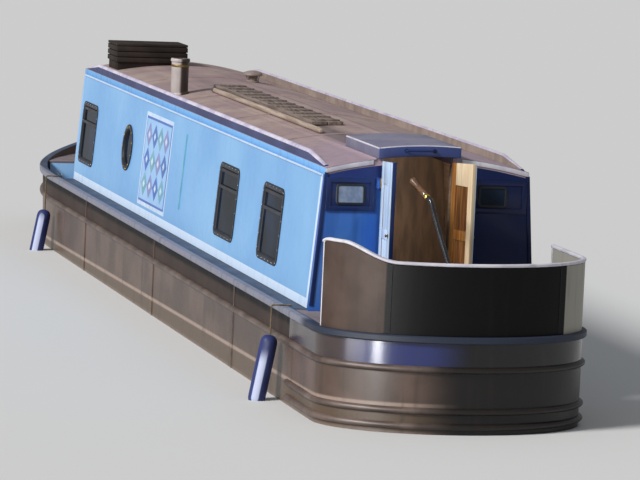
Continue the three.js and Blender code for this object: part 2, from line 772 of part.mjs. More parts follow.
// The well, its front and the foredeck with the mooring stud and the gas locker's lid
function buildForeDecks() {
  node("well_deck", insideBow(wellFloorZ - 20, wellFloorZ, cabinLength + gap, wellEnd + 50), "deckPaint");

  const frontX = wellEnd + wellFrontThickness;
  const frontAt = (z) => {
    const half = bowHalfAt(frontX, z) - 2;
    return [[wellEnd, -half, z], [frontX, -half, z], [frontX, half, z], [wellEnd, half, z]];
  };
  const undersideZ = foredeckZ - deckThickness;
  node("well_front", skin([frontAt(wellFloorZ + gap), frontAt(undersideZ - gap)]), "cabinBlue");

  const wayX = [lidX + lidLap, lidX + lidLength - lidLap];
  const wayHalf = lidHalf - lidLap;
  const way = box(...wayX, -wayHalf, wayHalf, undersideZ - past, foredeckZ + past);
  const foredeck = cut(insideBow(undersideZ, foredeckZ, wellEnd, stemX - 130), way);
  const stud = join(
    turned([[0, -5], [60, -5], [60, 10], [24, 12], [24, 130], [0, 130]], 20),
    bar("y", 20, -110, 110, [0, 0, 118]),
  );
  node("foredeck", join(foredeck, stud.translate(stemX - studSetback, 0, foredeckZ)), "deckPaint");

  const knuckle = (y0) => bar("y", 7, y0, y0 + 60, [lidX - 2, 0, foredeckZ + 8], 12);
  const plate = box(lidX, lidX + lidLength, -lidHalf, lidHalf, foredeckZ + gap, foredeckZ + lidThickness);
  node("gas_locker_lid", join(plate, knuckle(-170), knuckle(110)), "deckPaint");
}

function buildDoors() {
  for (const pair of doorPairs) {
    const { end, face, out, middle, half, low, hingeTop, freeTop, open } = pair;
    for (const { side, sign } of sides) {
      const group = new THREE.Group();
      group.position.set(face + out * pinStandOff, middle + sign * half, 0);
      group.rotation.z = out * sign * open[side] * degree;
      boat.add(group);
      const free = -sign * (half - 3);
      const outline = [[0, low], [free, low], [free, freeTop], [0, hingeTop]];
      const leaf = lengthwise(outline, ...inOrder(0, -out * doorThickness));
      const knuckles = hingeHeights(pair).map((z) => bar("z", knuckleRadius, z, z + 70, [0, 0, 0]));
      node(`${end}_door_${side}`, join(leaf, ...knuckles), "varnish", group);
    }
  }
}

// Inside: the cabin floor, the engine, its bed and the steps over it
function buildInterior() {
  const side = hullInner - gap;
  const frontX = cabinLength - cabinWall - gap;
  const swimEdge = swimStations.map(({ x, half }) => [x, Math.min(half - swimWall - gap - 4, side)]);
  const port = [...swimEdge.filter(([x]) => x > 200), [frontX, side]];
  const floor = upright(bothSides(port), floorZ - floorThickness, floorZ);
  const aftPart = box(0, floorAftX, -halfBeam, halfBeam, 0, floorZ + past);
  node("cabin_floor", cut(floor, aftPart), "plywood");

  const engineX1 = engineX + engineLength;
  const bedX = [engineX - 40, engineX1 + 40];
  const bedHalf = engineHalf - 60;
  const bed = cut(
    box(...bedX, -engineHalf, engineHalf, baseThickness + gap, engineZ - gap),
    box(bedX[0] - past, bedX[1] + past, -bedHalf, bedHalf, baseThickness + 25, engineZ + past),
  );
  node("engine_bed", bed, "steel");
  node("engine", box(engineX, engineX1, -engineHalf, engineHalf, engineZ, engineTop), "enginePaint");

  const [aftX, foreX] = casingX;
  const insideHalf = casingHalf - casingBoard;
  const casing = cut(
    box(aftX, foreX, -casingHalf, casingHalf, floorZ + gap, casingTop),
    box(aftX - past, foreX - casingBoard, -insideHalf, insideHalf, 0, casingTop - casingBoard),
  );
  const step = { reach: 280, half: 300, top: 540 };
  const treadBox = box(foreX - bite, foreX + step.reach, -step.half, step.half, floorZ + gap, step.top);
  const underTread = box(
    foreX + 20,
    foreX + step.reach - casingBoard,
    -step.half + casingBoard,
    step.half - casingBoard,
    0,
    step.top - casingBoard,
  );
  node("rear_steps", cut(join(casing, treadBox), underTread), "varnish");
}

// Stern gear below the water

// One blade of the propeller, standing up from the shaft's axis
function propellerBlade() {
  const rows = [
    { radius: 20, chord: 40, pitch: 58 },
    { radius: 70, chord: 105, pitch: 42 },
    { radius: 130, chord: 130, pitch: 30 },
    { radius: propellerRadius, chord: 70, pitch: 24 },
  ];
  const halfThickness = 5;
  const corners = [[-1, -1], [1, -1], [1, 1], [-1, 1]];
  return skin(
    rows.map(({ radius, chord, pitch }) => {
      const [alongX, alongY] = [Math.sin(pitch * degree), Math.cos(pitch * degree)];
      return corners.map(([a, b]) => [
        (a * chord * alongX) / 2 + b * halfThickness * alongY,
        (a * chord * alongY) / 2 - b * halfThickness * alongX,
        radius,
      ]);
    }),
  );
}

function buildPropeller() {
  const skegHeight = 40;
  const pinWay = bar("z", 17.4, 12, skegHeight + past, [rudderX, 0, 0], 20);
  node("skeg", cut(box(rudderX - 70, postX - gap, -45, 45, 0, skegHeight), pinWay), "blacking");

  const middleX = (hubX[0] + hubX[1]) / 2;
  const blades = [0, 1, 2].map((i) =>
    propellerBlade()
      .rotateX((i * 2 * Math.PI) / 3)
      .translate(middleX, 0, shaftZ),
  );
  const hub = bar("x", 34, ...hubX, [0, 0, shaftZ], 20);
  const shaft = bar("x", shaftRadius, hubX[0] - 20, engineX - gap, [0, 0, shaftZ], 20);
  node("propeller", join(hub, shaft, ...blades), "bronze");
}

// The rudder, its stock and the tiller above the deck turn as one
function buildRudder() {
  const group = new THREE.Group();
  group.position.set(rudderX, 0, 0);
  group.rotation.z = tillerRestAngle * degree;
  boat.add(group);
  const axis = [0, 0, 0];
  const plate = box(-400, 110, -6, 6, 70, uxterZ - 20);
  const stock = bar("z", stockRadius, 60, stockTop, axis, 20);
  const pin = bar("z", 17, 14, 80, axis, 20);
  node("rudder", join(plate, stock, pin), "blacking", group);

  const neckPath = [
    [0, 0, stockTop + gap],
    [0, 0, stockTop + 70],
    [35, 0, stockTop + 175],
    [130, 0, stockTop + 345],
    [230, 0, stockTop + 520],
    [310, 0, stockTop + 665],
    [neckEnd - 35, 0, neckEndZ - 20],
    [neckEnd + 35, 0, neckEndZ + 20],
  ];
  const collar = bar("z", 32, stockTop - 70, stockTop + 40, axis, 20);
  const socket = bar("z", stockRadius + gap, stockTop - 100, stockTop + gap, axis, 20);
  const onGrip = (shape) => shape.rotateY(-gripTilt * degree).translate(neckEnd, 0, neckEndZ);
  const endCut = onGrip(box(0, 100, -60, 60, -60, 60));
  const neck = join(swept(neckPath, 19, 26, 10), collar);
  node("swan_neck", cut(neck, socket, endCut), "navy", group);

  const length = gripLength;
  const grip = [[0, 0], [21, 0], [24, 60], [19, 130], [24, length - 42], [27, length - 10], [0, length]];
  const tiller = onGrip(turned(grip, 16).rotateY(Math.PI / 2).translate(gap, 0, 0));
  node("tiller_bar", tiller, "varnish", group);
}

function buildRoofGear() {
  const chimney = { x: 6000, y: 600 };
  const collar = [[0, -60], [92, -60], [92, 22], [76, 22]];
  const pipe = turned([...collar, [76, 290], [84, 290], [84, 318], [0, 318]], 24);
  const flue = bar("z", 62, 200, 400, [0, 0, 0], 20);
  const stack = cut(pipe, flue).translate(chimney.x, chimney.y, roofZ(chimney.y));
  node("chimney", seatedOnRoof(stack, chimney.x, 200), "cream");

  const chest = { x: [8700, 9150], y: [-60, 620], height: 195 };
  const chestBox = box(...chest.x, ...chest.y, roofEdgeZ - 60, roofZ(0) + chest.height);
  node("roof_box", seatedOnRoof(chestBox, chest.x[0], 1000), "blackPaint");

  const plank = { x: [2550, 6150], y: [0, 260], thickness: 40 };
  const plankZ = roofZ(plank.y[0]);
  node("gangplank", box(...plank.x, ...plank.y, plankZ + gap, plankZ + plank.thickness), "plywood");

  const pole = { x: [1950, 5900], y: 330, radius: 22 };
  const poleZ = roofZ(pole.y) + pole.radius + 0.5;
  node("boat_pole", bar("x", pole.radius, ...pole.x, [0, pole.y, poleZ], 12), "varnish");

  const lampX = cabinLength - 170;
  const body = turned([[0, 0], [48, 0], [60, 52], [63, 92], [55, 97], [0, 97]], 20);
  const foot = box(lampX + 20, lampX + 60, -15, 15, roofZ(0) + gap, roofZ(0) + 45);
  node("head_lamp", join(body.rotateY(Math.PI / 2).translate(lampX, 0, roofZ(0) + 78), foot), "brass");
}

// Side fenders, each hung by a rope that is held over the gunwale, with its foot afloat outboard
function buildFenders() {
  const radius = 65;
  const length = 540;
  const lean = 10; // degrees
  const rope = 7;
  const foot = [[0, -length], [30, 4 - length], [58, 30 - length], [radius, 70 - length]];
  const profile = [...foot, [radius, -70], [58, -30], [30, -4], [0, 0]];
  const places = [
    { place: "rear", x: 200, topZ: 990 },
    { place: "front", x: 9500, topZ: 890 },
  ];
  const ropeZ = gunwaleZ + gap + rope;
  for (const { side, sign } of sides) {
    const y = sign * (halfBeam + strakeReach + 0.5 + radius);
    const overEdge = inOrder(y, sign * (halfBeam - 60));
    for (const { place, x, topZ } of places) {
      const hung = join(
        turned(profile).rotateX(sign * lean * degree).translate(x, y, topZ),
        bar("z", rope, topZ - 20, ropeZ, [x, y, 0], 10),
        bar("y", rope, ...overEdge, [x, 0, ropeZ], 10),
      );
      node(`fender_${place}_${side}`, hung, "rubber");
    }
  }
}

buildBasePlate();
buildHullSides();
buildBow();
buildSwim();
buildUxterPlate();
buildCounter();
buildBulwark();
buildCabinSides();
buildRoof();
buildHatch();
buildBulkheads();
buildForeDecks();
buildDoors();
buildInterior();
buildPropeller();
buildRudder();
buildRoofGear();
buildFenders();

export default boat;
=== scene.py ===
# %% [markdown]
# # A steel narrowboat with a rounded stern
#
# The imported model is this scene's fixed frame: every plate, door and fitting is already there at
# its real size and place. This script gives each of them the shape of its edges, its small
# fittings and its finish. Sizes are in metres and are read from the frame wherever they can be.

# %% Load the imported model
import json
import math

import bmesh
import bpy
from mathutils import Matrix, Vector


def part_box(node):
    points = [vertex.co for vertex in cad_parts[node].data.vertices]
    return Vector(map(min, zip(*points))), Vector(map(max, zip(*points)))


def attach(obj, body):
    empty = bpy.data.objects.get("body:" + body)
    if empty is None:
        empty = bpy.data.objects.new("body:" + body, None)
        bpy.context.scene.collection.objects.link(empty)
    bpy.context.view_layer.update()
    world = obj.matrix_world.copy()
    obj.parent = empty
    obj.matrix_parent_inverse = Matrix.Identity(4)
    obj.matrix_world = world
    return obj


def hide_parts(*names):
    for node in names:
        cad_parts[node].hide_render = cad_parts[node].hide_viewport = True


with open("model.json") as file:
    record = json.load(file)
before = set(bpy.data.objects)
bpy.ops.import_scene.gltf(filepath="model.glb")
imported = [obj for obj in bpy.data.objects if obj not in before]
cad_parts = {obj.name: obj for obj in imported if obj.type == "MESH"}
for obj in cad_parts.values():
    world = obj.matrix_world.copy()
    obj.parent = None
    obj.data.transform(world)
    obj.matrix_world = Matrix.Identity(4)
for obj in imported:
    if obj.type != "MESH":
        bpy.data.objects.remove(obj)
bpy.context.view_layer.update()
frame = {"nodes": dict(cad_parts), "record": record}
bodies = frame["record"]["behaviour"]["bodies"]
body_of_node = {node: body for body, members in bodies.items() for node in members}

# %% [markdown]
# ## The boat's own lengths
#
# A boatyard measures along the boat from a bulkhead, across from the middle line and up from the
# base plate. The same three lengths are used here, so that a place in this script can be read as
# a place on the boat. The boat floats, so the studio floor lies at its waterline.

# %% Main lines and a way to name a place
bulkhead_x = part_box("roof")[0].x
half_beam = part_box("base_plate")[1].y
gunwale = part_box("hull_side_port")[1].z
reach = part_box("hull_side_port")[1].y - half_beam
cabin_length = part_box("roof")[1].x - bulkhead_x
roof_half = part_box("roof")[1].y
waterline = 0.5
sides = {"port": 1, "starboard": -1}


def at(x, y, z):
    """A place along the boat from the rear bulkhead, across it to port, and up from its base."""
    return Vector((bulkhead_x + x, y, z))


def along(node):
    """Where a piece starts and ends along the boat, from the rear bulkhead."""
    low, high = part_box(node)
    return low.x - bulkhead_x, high.x - bulkhead_x


def middle(node):
    """The middle of a piece along the boat and across it."""
    low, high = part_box(node)
    return (low.x + high.x) / 2 - bulkhead_x, (low.y + high.y) / 2


print("cabin", round(cabin_length, 3), "beam", round(2 * half_beam, 3), "gunwale", round(gunwale, 3))

# %% [markdown]
# ## The camera
#
# The view is from a bank about thirty metres behind the boat and a little to port, so the stern
# faces the camera and the side runs away from it. The place comes from fitting a pinhole camera
# to the boat's edges. A long lens from the same place keeps the perspective of that view, and
# lets the boat fill the picture. The horizon leans by a few degrees, as the view does.

# %% The camera
camera_place = Vector((-35.381, 8.456, 5.145))
heading, dip, lean = (math.radians(angle) for angle in (-14.37, 6.32, 2.62))
forward = Vector((math.cos(heading) * math.cos(dip), math.sin(heading) * math.cos(dip), -math.sin(dip)))
level = Vector((math.sin(heading), -math.cos(heading), 0))
above = level.cross(forward)
right = math.cos(lean) * level + math.sin(lean) * above
up = math.cos(lean) * above - math.sin(lean) * level


def linked(name, data):
    """A new object in the scene."""
    obj = bpy.data.objects.new(name, data)
    bpy.context.scene.collection.objects.link(obj)
    return obj


camera = linked("camera", bpy.data.cameras.new("camera"))
camera.data.lens = 236
camera.data.sensor_width = 36
camera.data.clip_end = 1000
turned = Matrix((right, up, -forward)).transposed().to_4x4()
camera.matrix_world = Matrix.Translation(camera_place) @ turned
bpy.context.scene.camera = camera
bpy.context.scene.view_settings.view_transform = "Standard"
print("camera", round((at(0, 0, gunwale) - camera_place).length, 1), "m from the rear bulkhead")

# %% [markdown]
# ## Colours and nodes
#
# A paint chart gives colours as sRGB hex codes, and Blender's nodes work in linear light, so one
# function turns the first into the second. Another adds a node, sets it up and links it. Every
# finish and every Geometry Nodes tree below is built with these.


# %% Colours and nodes
def srgb(code):
    """A colour such as #91c3eb as the linear colour that Blender's nodes take."""
    shares = [int(code[i:i + 2], 16) / 255 for i in (1, 3, 5)]
    return (*[s / 12.92 if s <= 0.04045 else ((s + 0.055) / 1.055) ** 2.4 for s in shares], 1.0)


def fill(tree, node, inputs):
    """Sets a node's inputs by name or number. A socket is linked, and the rest are values."""
    for key, value in inputs.items():
        if isinstance(value, bpy.types.NodeSocket):
            tree.links.new(value, node.inputs[key])
        else:
            node.inputs[key].default_value = value


def add(tree, kind, inputs=None, output=0, **settings):
    """Adds one node, sets it up and gives one of its outputs, or all where output is None."""
    node = tree.nodes.new(kind)
    for name, value in settings.items():
        setattr(node, name, value)
    fill(tree, node, inputs or {})
    return node.outputs if output is None else node.outputs[output]


multiply = {"operation": "MULTIPLY"}
smooth = {"interpolation_type": "SMOOTHSTEP"}
of_colours = {"output": 2, "data_type": "RGBA"}
print("sky blue enamel in linear light:", [round(c, 3) for c in srgb("#91c3eb")[:3]])

# %% [markdown]
# ## Building with outlines
#
# Almost everything on a steel boat is a bar, a plate or a tube that follows a line, and the rest
# is turned. So the mesh helpers are few: one joins matching outlines into a closed skin, one
# turns a profile about a line, one adds a plain block for its edges to be rounded later, and one
# leads a round bar along points.


# %% Mesh helpers
def skin(mesh, outlines, finishes=0, looped=False):
    """Joins outlines with the same number of points. A list of finishes goes round an outline."""
    rows = [[mesh.verts.new(point) for point in outline] for outline in outlines]
    count = len(rows[0])
    even = isinstance(finishes, int)
    for row, after in zip(rows, rows[1:] + rows[:1] if looped else rows[1:]):
        for i in range(count):
            j = (i + 1) % count
            face = mesh.faces.new((row[i], row[j], after[j], after[i]))
            face.material_index = finishes if even else finishes[i]
    if not looped:
        for cap in (rows[0][::-1], rows[-1]):
            mesh.faces.new(cap).material_index = finishes if even else 0


def turn(mesh, profile, centre, axis=(0, 0, 1), facets=40, finish=0):
    """Turns a profile of (radius, height) points, which starts and ends on the axis."""
    spin = Vector((0, 0, 1)).rotation_difference(Vector(axis)).to_matrix()
    rows = []
    for radius, height in profile:
        angles = [2 * math.pi * i / facets for i in range(facets if radius else 1)]
        ring = [Vector((radius * math.cos(a), radius * math.sin(a), height)) for a in angles]
        rows.append([mesh.verts.new(centre + spin @ point) for point in ring])
    for row, after in zip(rows, rows[1:]):
        for i in range(facets):
            j = (i + 1) % facets
            corners = [row[i % len(row)], row[j % len(row)], after[j % len(after)], after[i % len(after)]]
            mesh.faces.new(list(dict.fromkeys(corners))).material_index = finish


def block(mesh, low, high, place=at, finish=0):
    """A block between two corners. Place turns each corner into a point of the frame."""
    (x0, y0, z0), (x1, y1, z1) = low, high
    ends = [[(x, y0, z0), (x, y1, z0), (x, y1, z1), (x, y0, z1)] for x in (x0, x1)]
    skin(mesh, [[place(*corner) for corner in end] for end in ends], finish)


def tube(mesh, points, radius, facets=10, finish=0):
    """A round bar along a line of points, closed at its ends."""
    outlines = []
    side = Vector((0, 0, 1))
    for i, point in enumerate(points):
        direction = (points[min(i + 1, len(points) - 1)] - points[max(i - 1, 0)]).normalized()
        if abs(direction.dot(side)) > 0.95:
            side = Vector((0, 1, 0)) if abs(direction.y) < 0.9 else Vector((1, 0, 0))
        first = direction.cross(side).normalized()
        second = direction.cross(first)
        side = -second
        angles = [2 * math.pi * k / facets for k in range(facets)]
        outlines.append([point + radius * (math.cos(a) * first + math.sin(a) * second) for a in angles])
    skin(mesh, outlines, [finish] * facets)


print("4 mesh helpers")

# %% [markdown]
# ## From a mesh to a piece of the boat
#
# A mesh is closed off the same way each time: its faces point outwards, its edges are rounded
# and it is shaded. Some pieces start from the frame's own mesh and only get round edges. A piece
# then rides on a body and hides the frame's pieces that it stands for.


# %% Pieces
def settled(obj):
    """Makes an object's modifiers part of its mesh."""
    depsgraph = bpy.context.evaluated_depsgraph_get()
    result = bpy.data.meshes.new_from_object(obj.evaluated_get(depsgraph))
    obj.modifiers.clear()
    obj.data = result
    return obj


def smoothed(obj, angle=32):
    """Shades the faces as one surface, apart from edges that turn by more than the angle."""
    obj.data.shade_smooth()
    obj.data.set_sharp_from_angle(angle=math.radians(angle))
    return obj


def finished(obj, materials, edge, angle):
    """Gives an object its finishes, rounds its edges by that radius and shades it."""
    for material in materials:
        obj.data.materials.append(material)
    if edge:
        bevel = obj.modifiers.new("rounded edges", "BEVEL")
        bevel.width = edge
        bevel.segments = 2
        bevel.limit_method = "ANGLE"
        bevel.angle_limit = math.radians(30)
        settled(obj)
    return smoothed(obj, angle)


def stood(name, mesh):
    """A mesh that is done as an object."""
    data = bpy.data.meshes.new(name)
    mesh.to_mesh(data)
    mesh.free()
    return linked(name, data)


def fitted(obj, slot, *nodes, body="hull"):
    """The piece rides on a body and stands for these nodes, which are hidden. The slot is not used."""
    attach(obj, body_of_node[nodes[0]] if nodes else body)
    if nodes:
        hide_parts(*nodes)
    return obj


def piece(name, mesh, materials, slot, *nodes, edge=0.0, angle=32, body="hull"):
    """Closes a mesh off as a piece of the boat."""
    bmesh.ops.remove_doubles(mesh, verts=mesh.verts, dist=1e-6)
    bmesh.ops.recalc_face_normals(mesh, faces=mesh.faces)
    return fitted(finished(stood(name, mesh), materials, edge, angle), slot, *nodes, body=body)


def refined(node, material, slot, edge=0.003, angle=32):
    """A copy of a piece of the frame as one mesh with rounded edges, to stand for it."""
    mesh = bmesh.new()
    mesh.from_mesh(frame["nodes"][node].data)
    bmesh.ops.remove_doubles(mesh, verts=mesh.verts, dist=2e-5)
    flat = math.radians(0.6)
    bmesh.ops.dissolve_limit(mesh, angle_limit=flat, verts=mesh.verts, edges=mesh.edges)
    return fitted(finished(stood(node + "_finished", mesh), [material], edge, angle), slot, node)


print("helpers for pieces ready")

# %% [markdown]
# ## Painted steel
#
# Most of the boat is steel plate under brushed enamel or bitumen. Paint like that is never one
# colour: the sun fades it in patches as long as an arm, rain draws streaks down it, and the
# brush and the grit under it leave a fine relief that softens the gloss. One function makes all
# the paints, because they differ in those amounts and not in what happens to them. Each pattern
# reads the object's own coordinates in metres, so a size in millimetres stays that size on every
# piece. Grit is drawn coarser than the half millimetre it has, because at thirty metres that
# would not show.


# %% Patches and paint
def patches_of(tree, place, size_mm, low, high, detail=3.0):
    """A patchy pattern of that size, as a share from 0 below low to 1 above high."""
    inputs = {"Vector": place, "Scale": 1000 / size_mm, "Detail": detail}
    pattern = add(tree, "ShaderNodeTexNoise", inputs, "Fac")
    return add(tree, "ShaderNodeMapRange", {"Value": pattern, "From Min": low, "From Max": high}, **smooth)


def patchy(tree, place, size_mm, low, high, colour, other):
    """One colour that passes into another in patches of that size."""
    share = patches_of(tree, place, size_mm, low, high)
    return add(tree, "ShaderNodeMix", {0: share, 6: srgb(colour), 7: srgb(other)}, **of_colours)


def started(name):
    """A new material, its tree, its shader and the object's own coordinates."""
    material = bpy.data.materials.new(name)
    material.use_nodes = True
    tree = material.node_tree
    place = add(tree, "ShaderNodeTexCoord", output="Object")
    return material, tree, tree.nodes["Principled BSDF"], place


def paint(name, colour, faded, roughness, patch_mm=700, streak="#3b332c", streaked=0.25, grit_mm=9,
          relief_mm=0.25, coat=0.0, zones=(), shine=0.5):
    """Enamel on steel: it fades in patches, rain streaks it, and grit and brush marks dull it.

    A zone is (direction, start, end, colour): along that direction the paint turns into the
    colour from start to end and keeps it after that."""
    material, tree, shader, place = started(name)
    base = patchy(tree, place, patch_mm, 0.35, 0.68, colour, faded)
    for direction, start, end, zone_colour in zones:
        inputs = {0: place, 1: direction}
        reached = add(tree, "ShaderNodeVectorMath", inputs, "Value", operation="DOT_PRODUCT")
        limits = {"Value": reached, "From Min": start, "From Max": end}
        share = add(tree, "ShaderNodeMapRange", limits, **smooth)
        base = add(tree, "ShaderNodeMix", {0: share, 6: base, 7: srgb(zone_colour)}, **of_colours)
    drawn_out = add(tree, "ShaderNodeMapping", {"Vector": place, "Scale": (1, 1, 0.1)})
    runs = patches_of(tree, drawn_out, 70, 0.5, 0.78)
    streaks = add(tree, "ShaderNodeMath", {0: runs, 1: streaked}, **multiply)
    grit = add(tree, "ShaderNodeTexNoise", {"Vector": place, "Scale": 1000 / grit_mm, "Detail": 2.0}, "Fac")
    dulled = {"Value": grit, "To Min": roughness - 0.06, "To Max": roughness + 0.1}
    relief = {"Height": grit, "Strength": 0.5, "Distance": relief_mm / 1000}
    fill(tree, shader, {
        "Base Color": add(tree, "ShaderNodeMix", {0: streaks, 6: base, 7: srgb(streak)}, **of_colours),
        "Roughness": add(tree, "ShaderNodeMapRange", dulled),
        "Normal": add(tree, "ShaderNodeBump", relief),
        "IOR": 1.5,
        "Specular IOR Level": shine,
        "Coat Weight": coat,
        "Coat Roughness": 0.12,
    })
    return material


print("one function for every paint")

# %% [markdown]
# ## The hull's paints
#
# Bitumen below and enamel on the edges: brown and dusty along the side, with an old tide line
# and a band of scum at the water. Light and shade are painted into some of them: near black
# round the stern as shade, navy in the counter's gloss as a reflection of the sky, and pale grey
# along the gunwale's edge as a highlight.

# %% Paints of the hull and the decks
ahead, to_port, upward = (1, 0, 0), (0, 1, 0), (0, 0, 1)
# Round the stern, from the port quarter on, the hull is painted near black as shade
astern_and_starboard = (-0.9, -0.45, 0)
stern_shade = (0.98 - 0.9 * bulkhead_x, 1.24 - 0.9 * bulkhead_x)
# An old tide line rises towards the stern, because the boat once lay deeper there
tide_slope = 0.0108
above_tide = (tide_slope, 0, 1)
tide = 0.69 + tide_slope * bulkhead_x
# Weathered bitumen hull blacking: warm brown dust and dried scum, and near black round the stern as painted
# shade
tide_scum_and_stern_shade = [
    (above_tide, tide + 0.024, tide + 0.006, "#9c877a"),
    (above_tide, tide - 0.004, tide - 0.022, "#594838"),
    (upward, waterline + 0.03, waterline + 0.005, "#74645a"),
    (astern_and_starboard, *stern_shade, "#130f0e"),
]
blacking = paint("weathered_hull_blacking", "#49392f", "#624e44", 0.36, 420, "#2a1f1a", 0.5, 14, 0.6,
                 zones=tide_scum_and_stern_shade, shine=0.4)
# Bitumen on the rubbing strakes, rubbed to a warm brown along their crowns, and painted near black round the
# stern as shade
strake_black = paint("rubbed_strake_blacking", "#54453e", "#6e5e56", 0.4, 260, "#33261f", 0.4, 12, 0.4,
                     zones=[(astern_and_starboard, *stern_shade, "#1d1815")], shine=0.4)
# Dull enamel of the band under the gunwale: brown, and painted black at its top as the shade under the
# gunwale's edge
shade_under_edge = [(upward, gunwale - 0.13, gunwale - 0.09, "#0b090d")]
band_enamel = paint("dull_band_enamel", "#352a26", "#41352f", 0.5, 500, "#4b3d35", 0.35, 12, 0.3,
                    zones=shade_under_edge, shine=0.1)
# The same band round the stern is kept glossy: brown turns to navy as a painted reflection of the sky, then
# to black as painted shade
sky_and_shade_round_stern = [(ahead, bulkhead_x - 1.02, bulkhead_x - 1.24, "#2b3468"), (to_port, 0.36, -0.02, "#06070a")]
counter_enamel = paint("gloss_counter_enamel", "#3a3030", "#463a39", 0.2, 400, "#4b3d35", 0.3, 12, 0.15,
                       0.2, zones=sky_and_shade_round_stern, shine=0.4)
# Dark blue deck enamel on the gunwale, with a pale grey painted highlight along its edge; it turns darker
# round the stern
edge_highlight_and_dark_stern = [(upward, gunwale - 0.003, gunwale - 0.006, "#82828f")]
edge_highlight_and_dark_stern += [((0, sign, 0), 0.972, 0.985, "#82828f") for sign in sides.values()]
edge_highlight_and_dark_stern += [(ahead, bulkhead_x - 0.35, bulkhead_x - 0.6, "#2b3242")]
gunwale_enamel = paint("gunwale_deck_enamel", "#374358", "#46546b", 0.5, 300, "#2b2e38", 0.4, 16, 0.5,
                       zones=edge_highlight_and_dark_stern, shine=0.25)
# Deck paint with sand in it, so that feet don't slip: matt and gritty
deck_sand = paint("sanded_deck_paint", "#6d6266", "#83797a", 0.8, 350, "#463e3c", 0.3, 22, 1.2)
# Bulwark enamel: brown to port, painted black across the stern as shade and pale grey to starboard as painted
# light
port_joint, starboard_joint = 38, -46
port_x = bulkhead_x - 0.75 - 0.64 * math.cos(math.radians(port_joint))
starboard_y = 1.03 * math.sin(math.radians(starboard_joint))
shade_and_light_plates = [
    (ahead, port_x + 0.004, port_x - 0.004, "#070708"),
    (to_port, -0.3, -0.304, "#070708"),
    (to_port, starboard_y + 0.004, starboard_y - 0.004, "#97948a"),
]
bulwark_black = paint("bulwark_enamel_painted_shade_and_light", "#46372f", "#56463e", 0.5, 300, "#241d1a", 0.25, 14,
                      0.5, zones=shade_and_light_plates, shine=0.15)
print(len(bpy.data.materials), "materials so far")

# %% [markdown]
# ## The cabin's paints
#
# Coach enamel on the sides, with a white stripe along the foot and up the rear edge that is
# painted by height and length. The roof has gone mauve and brown, and the rear wall, which the
# sun hardly reaches, has kept its blue.

# %% Paints of the cabin and what stands on it
stripe_top = gunwale + 0.075
edge_strip = bulkhead_x + 0.1
stripe_white = "#cfe2f7"
stripes = [
    (upward, stripe_top + 0.002, stripe_top - 0.002, stripe_white),
    (ahead, edge_strip + 0.002, edge_strip - 0.002, stripe_white),
]
# Coach enamel of the cabin sides: sky blue, brushed out smooth
sky_enamel = paint("sky_blue_coach_enamel", "#6ca4d8", "#7eb3e0", 0.32, 1100, "#5c8ac0", 0.15, 60, 0.1, 0.1,
                   zones=stripes, shine=0.25)
# The same enamel in white for doors and panels
white_enamel = paint("white_coach_enamel", "#cfe2f7", "#bcd5f2", 0.3, 500, "#8d97a6", 0.35, 25, 0.15, 0.3)
# Sign painter's enamels for the panel and the seam: sky blue without stripes, teal and violet
sky_plain = paint("sky_blue_sign_enamel", "#86b8ea", "#93c2ee", 0.3, 300, "#6b94c6", 0.2, 30, 0.1, 0.3)
teal_enamel = paint("teal_sign_enamel", "#4f97ac", "#6aa9b8", 0.35, 120, "#3b6c80", 0.3, 20, 0.1, 0.3)
violet_enamel = paint("violet_sign_enamel", "#6f78b4", "#8089bd", 0.35, 120, "#4c5590", 0.3, 20, 0.1, 0.3)
# Royal blue enamel of the rear bulkhead, with painted shade: darker under the roof, and dark navy to
# starboard of the doorway, where the open door casts its shadow
entry_zone = (0.0, -0.01)
shaded = [(upward, 2.17, 2.21, "#24346f"), (to_port, *entry_zone, "#0f1d48")]
royal_enamel = paint("royal_blue_enamel", "#2c5db8", "#3a6bb2", 0.3, 500, "#1c376c", 0.35, 25, 0.15, 0.1,
                     zones=shaded, shine=0.2)
# Dark navy enamel, painted nearly black to starboard of the doorway as shade
navy_enamel = paint("dark_navy_enamel", "#1b2c5c", "#22366b", 0.32, 400, "#121c33", 0.3, 20, 0.15, 0.15,
                    zones=[(to_port, *entry_zone, "#0f1a42")], shine=0.2)
# Gloss black enamel of the swan neck
neck_enamel = paint("gloss_black_neck_enamel", "#1a1a1c", "#26262a", 0.22, 200, "#2d2b2a", 0.2, 18, 0.1, 0.3)
# Handrail enamel: a faded navy that the sun has turned towards lilac
rail_navy = paint("faded_navy_rail_enamel", "#232b59", "#343c6c", 0.4, 450, "#20244a", 0.4, 18, 0.3,
                  shine=0.3)
# Lilac-white cap along the top of the handrails
rail_cap = paint("lilac_white_rail_cap", "#d4cddd", "#b8afc7", 0.45, 200, "#7c7386", 0.4, 16, 0.3)
# Off-white enamel on rails and trims, chalky from the weather
chalk_white = paint("chalky_white_enamel", "#d9d6dc", "#bdb9c4", 0.45, 260, "#6e6866", 0.4, 16, 0.3)
# Red oxide roof paint gone mauve and brown, with sand in it: lilac aft, and sky blue on its edges
fascia = [(ahead, bulkhead_x + 2.4, bulkhead_x + 0.6, "#9d8a94")]
fascia += [((0, sign, 0), roof_half - 0.004, roof_half - 0.002, "#74ade2") for sign in sides.values()]
roof_oxide = paint("faded_oxide_roof_paint", "#968080", "#a8948c", 0.78, 520, "#66594e", 0.35, 26, 1.2,
                   zones=fascia, shine=0.3)
# The same roof paint on the vent and the inner faces of the handrails
vent_paint = paint("roof_paint_on_vents", "#84756d", "#97887d", 0.6, 160, "#5e5349", 0.4, 20, 0.5)
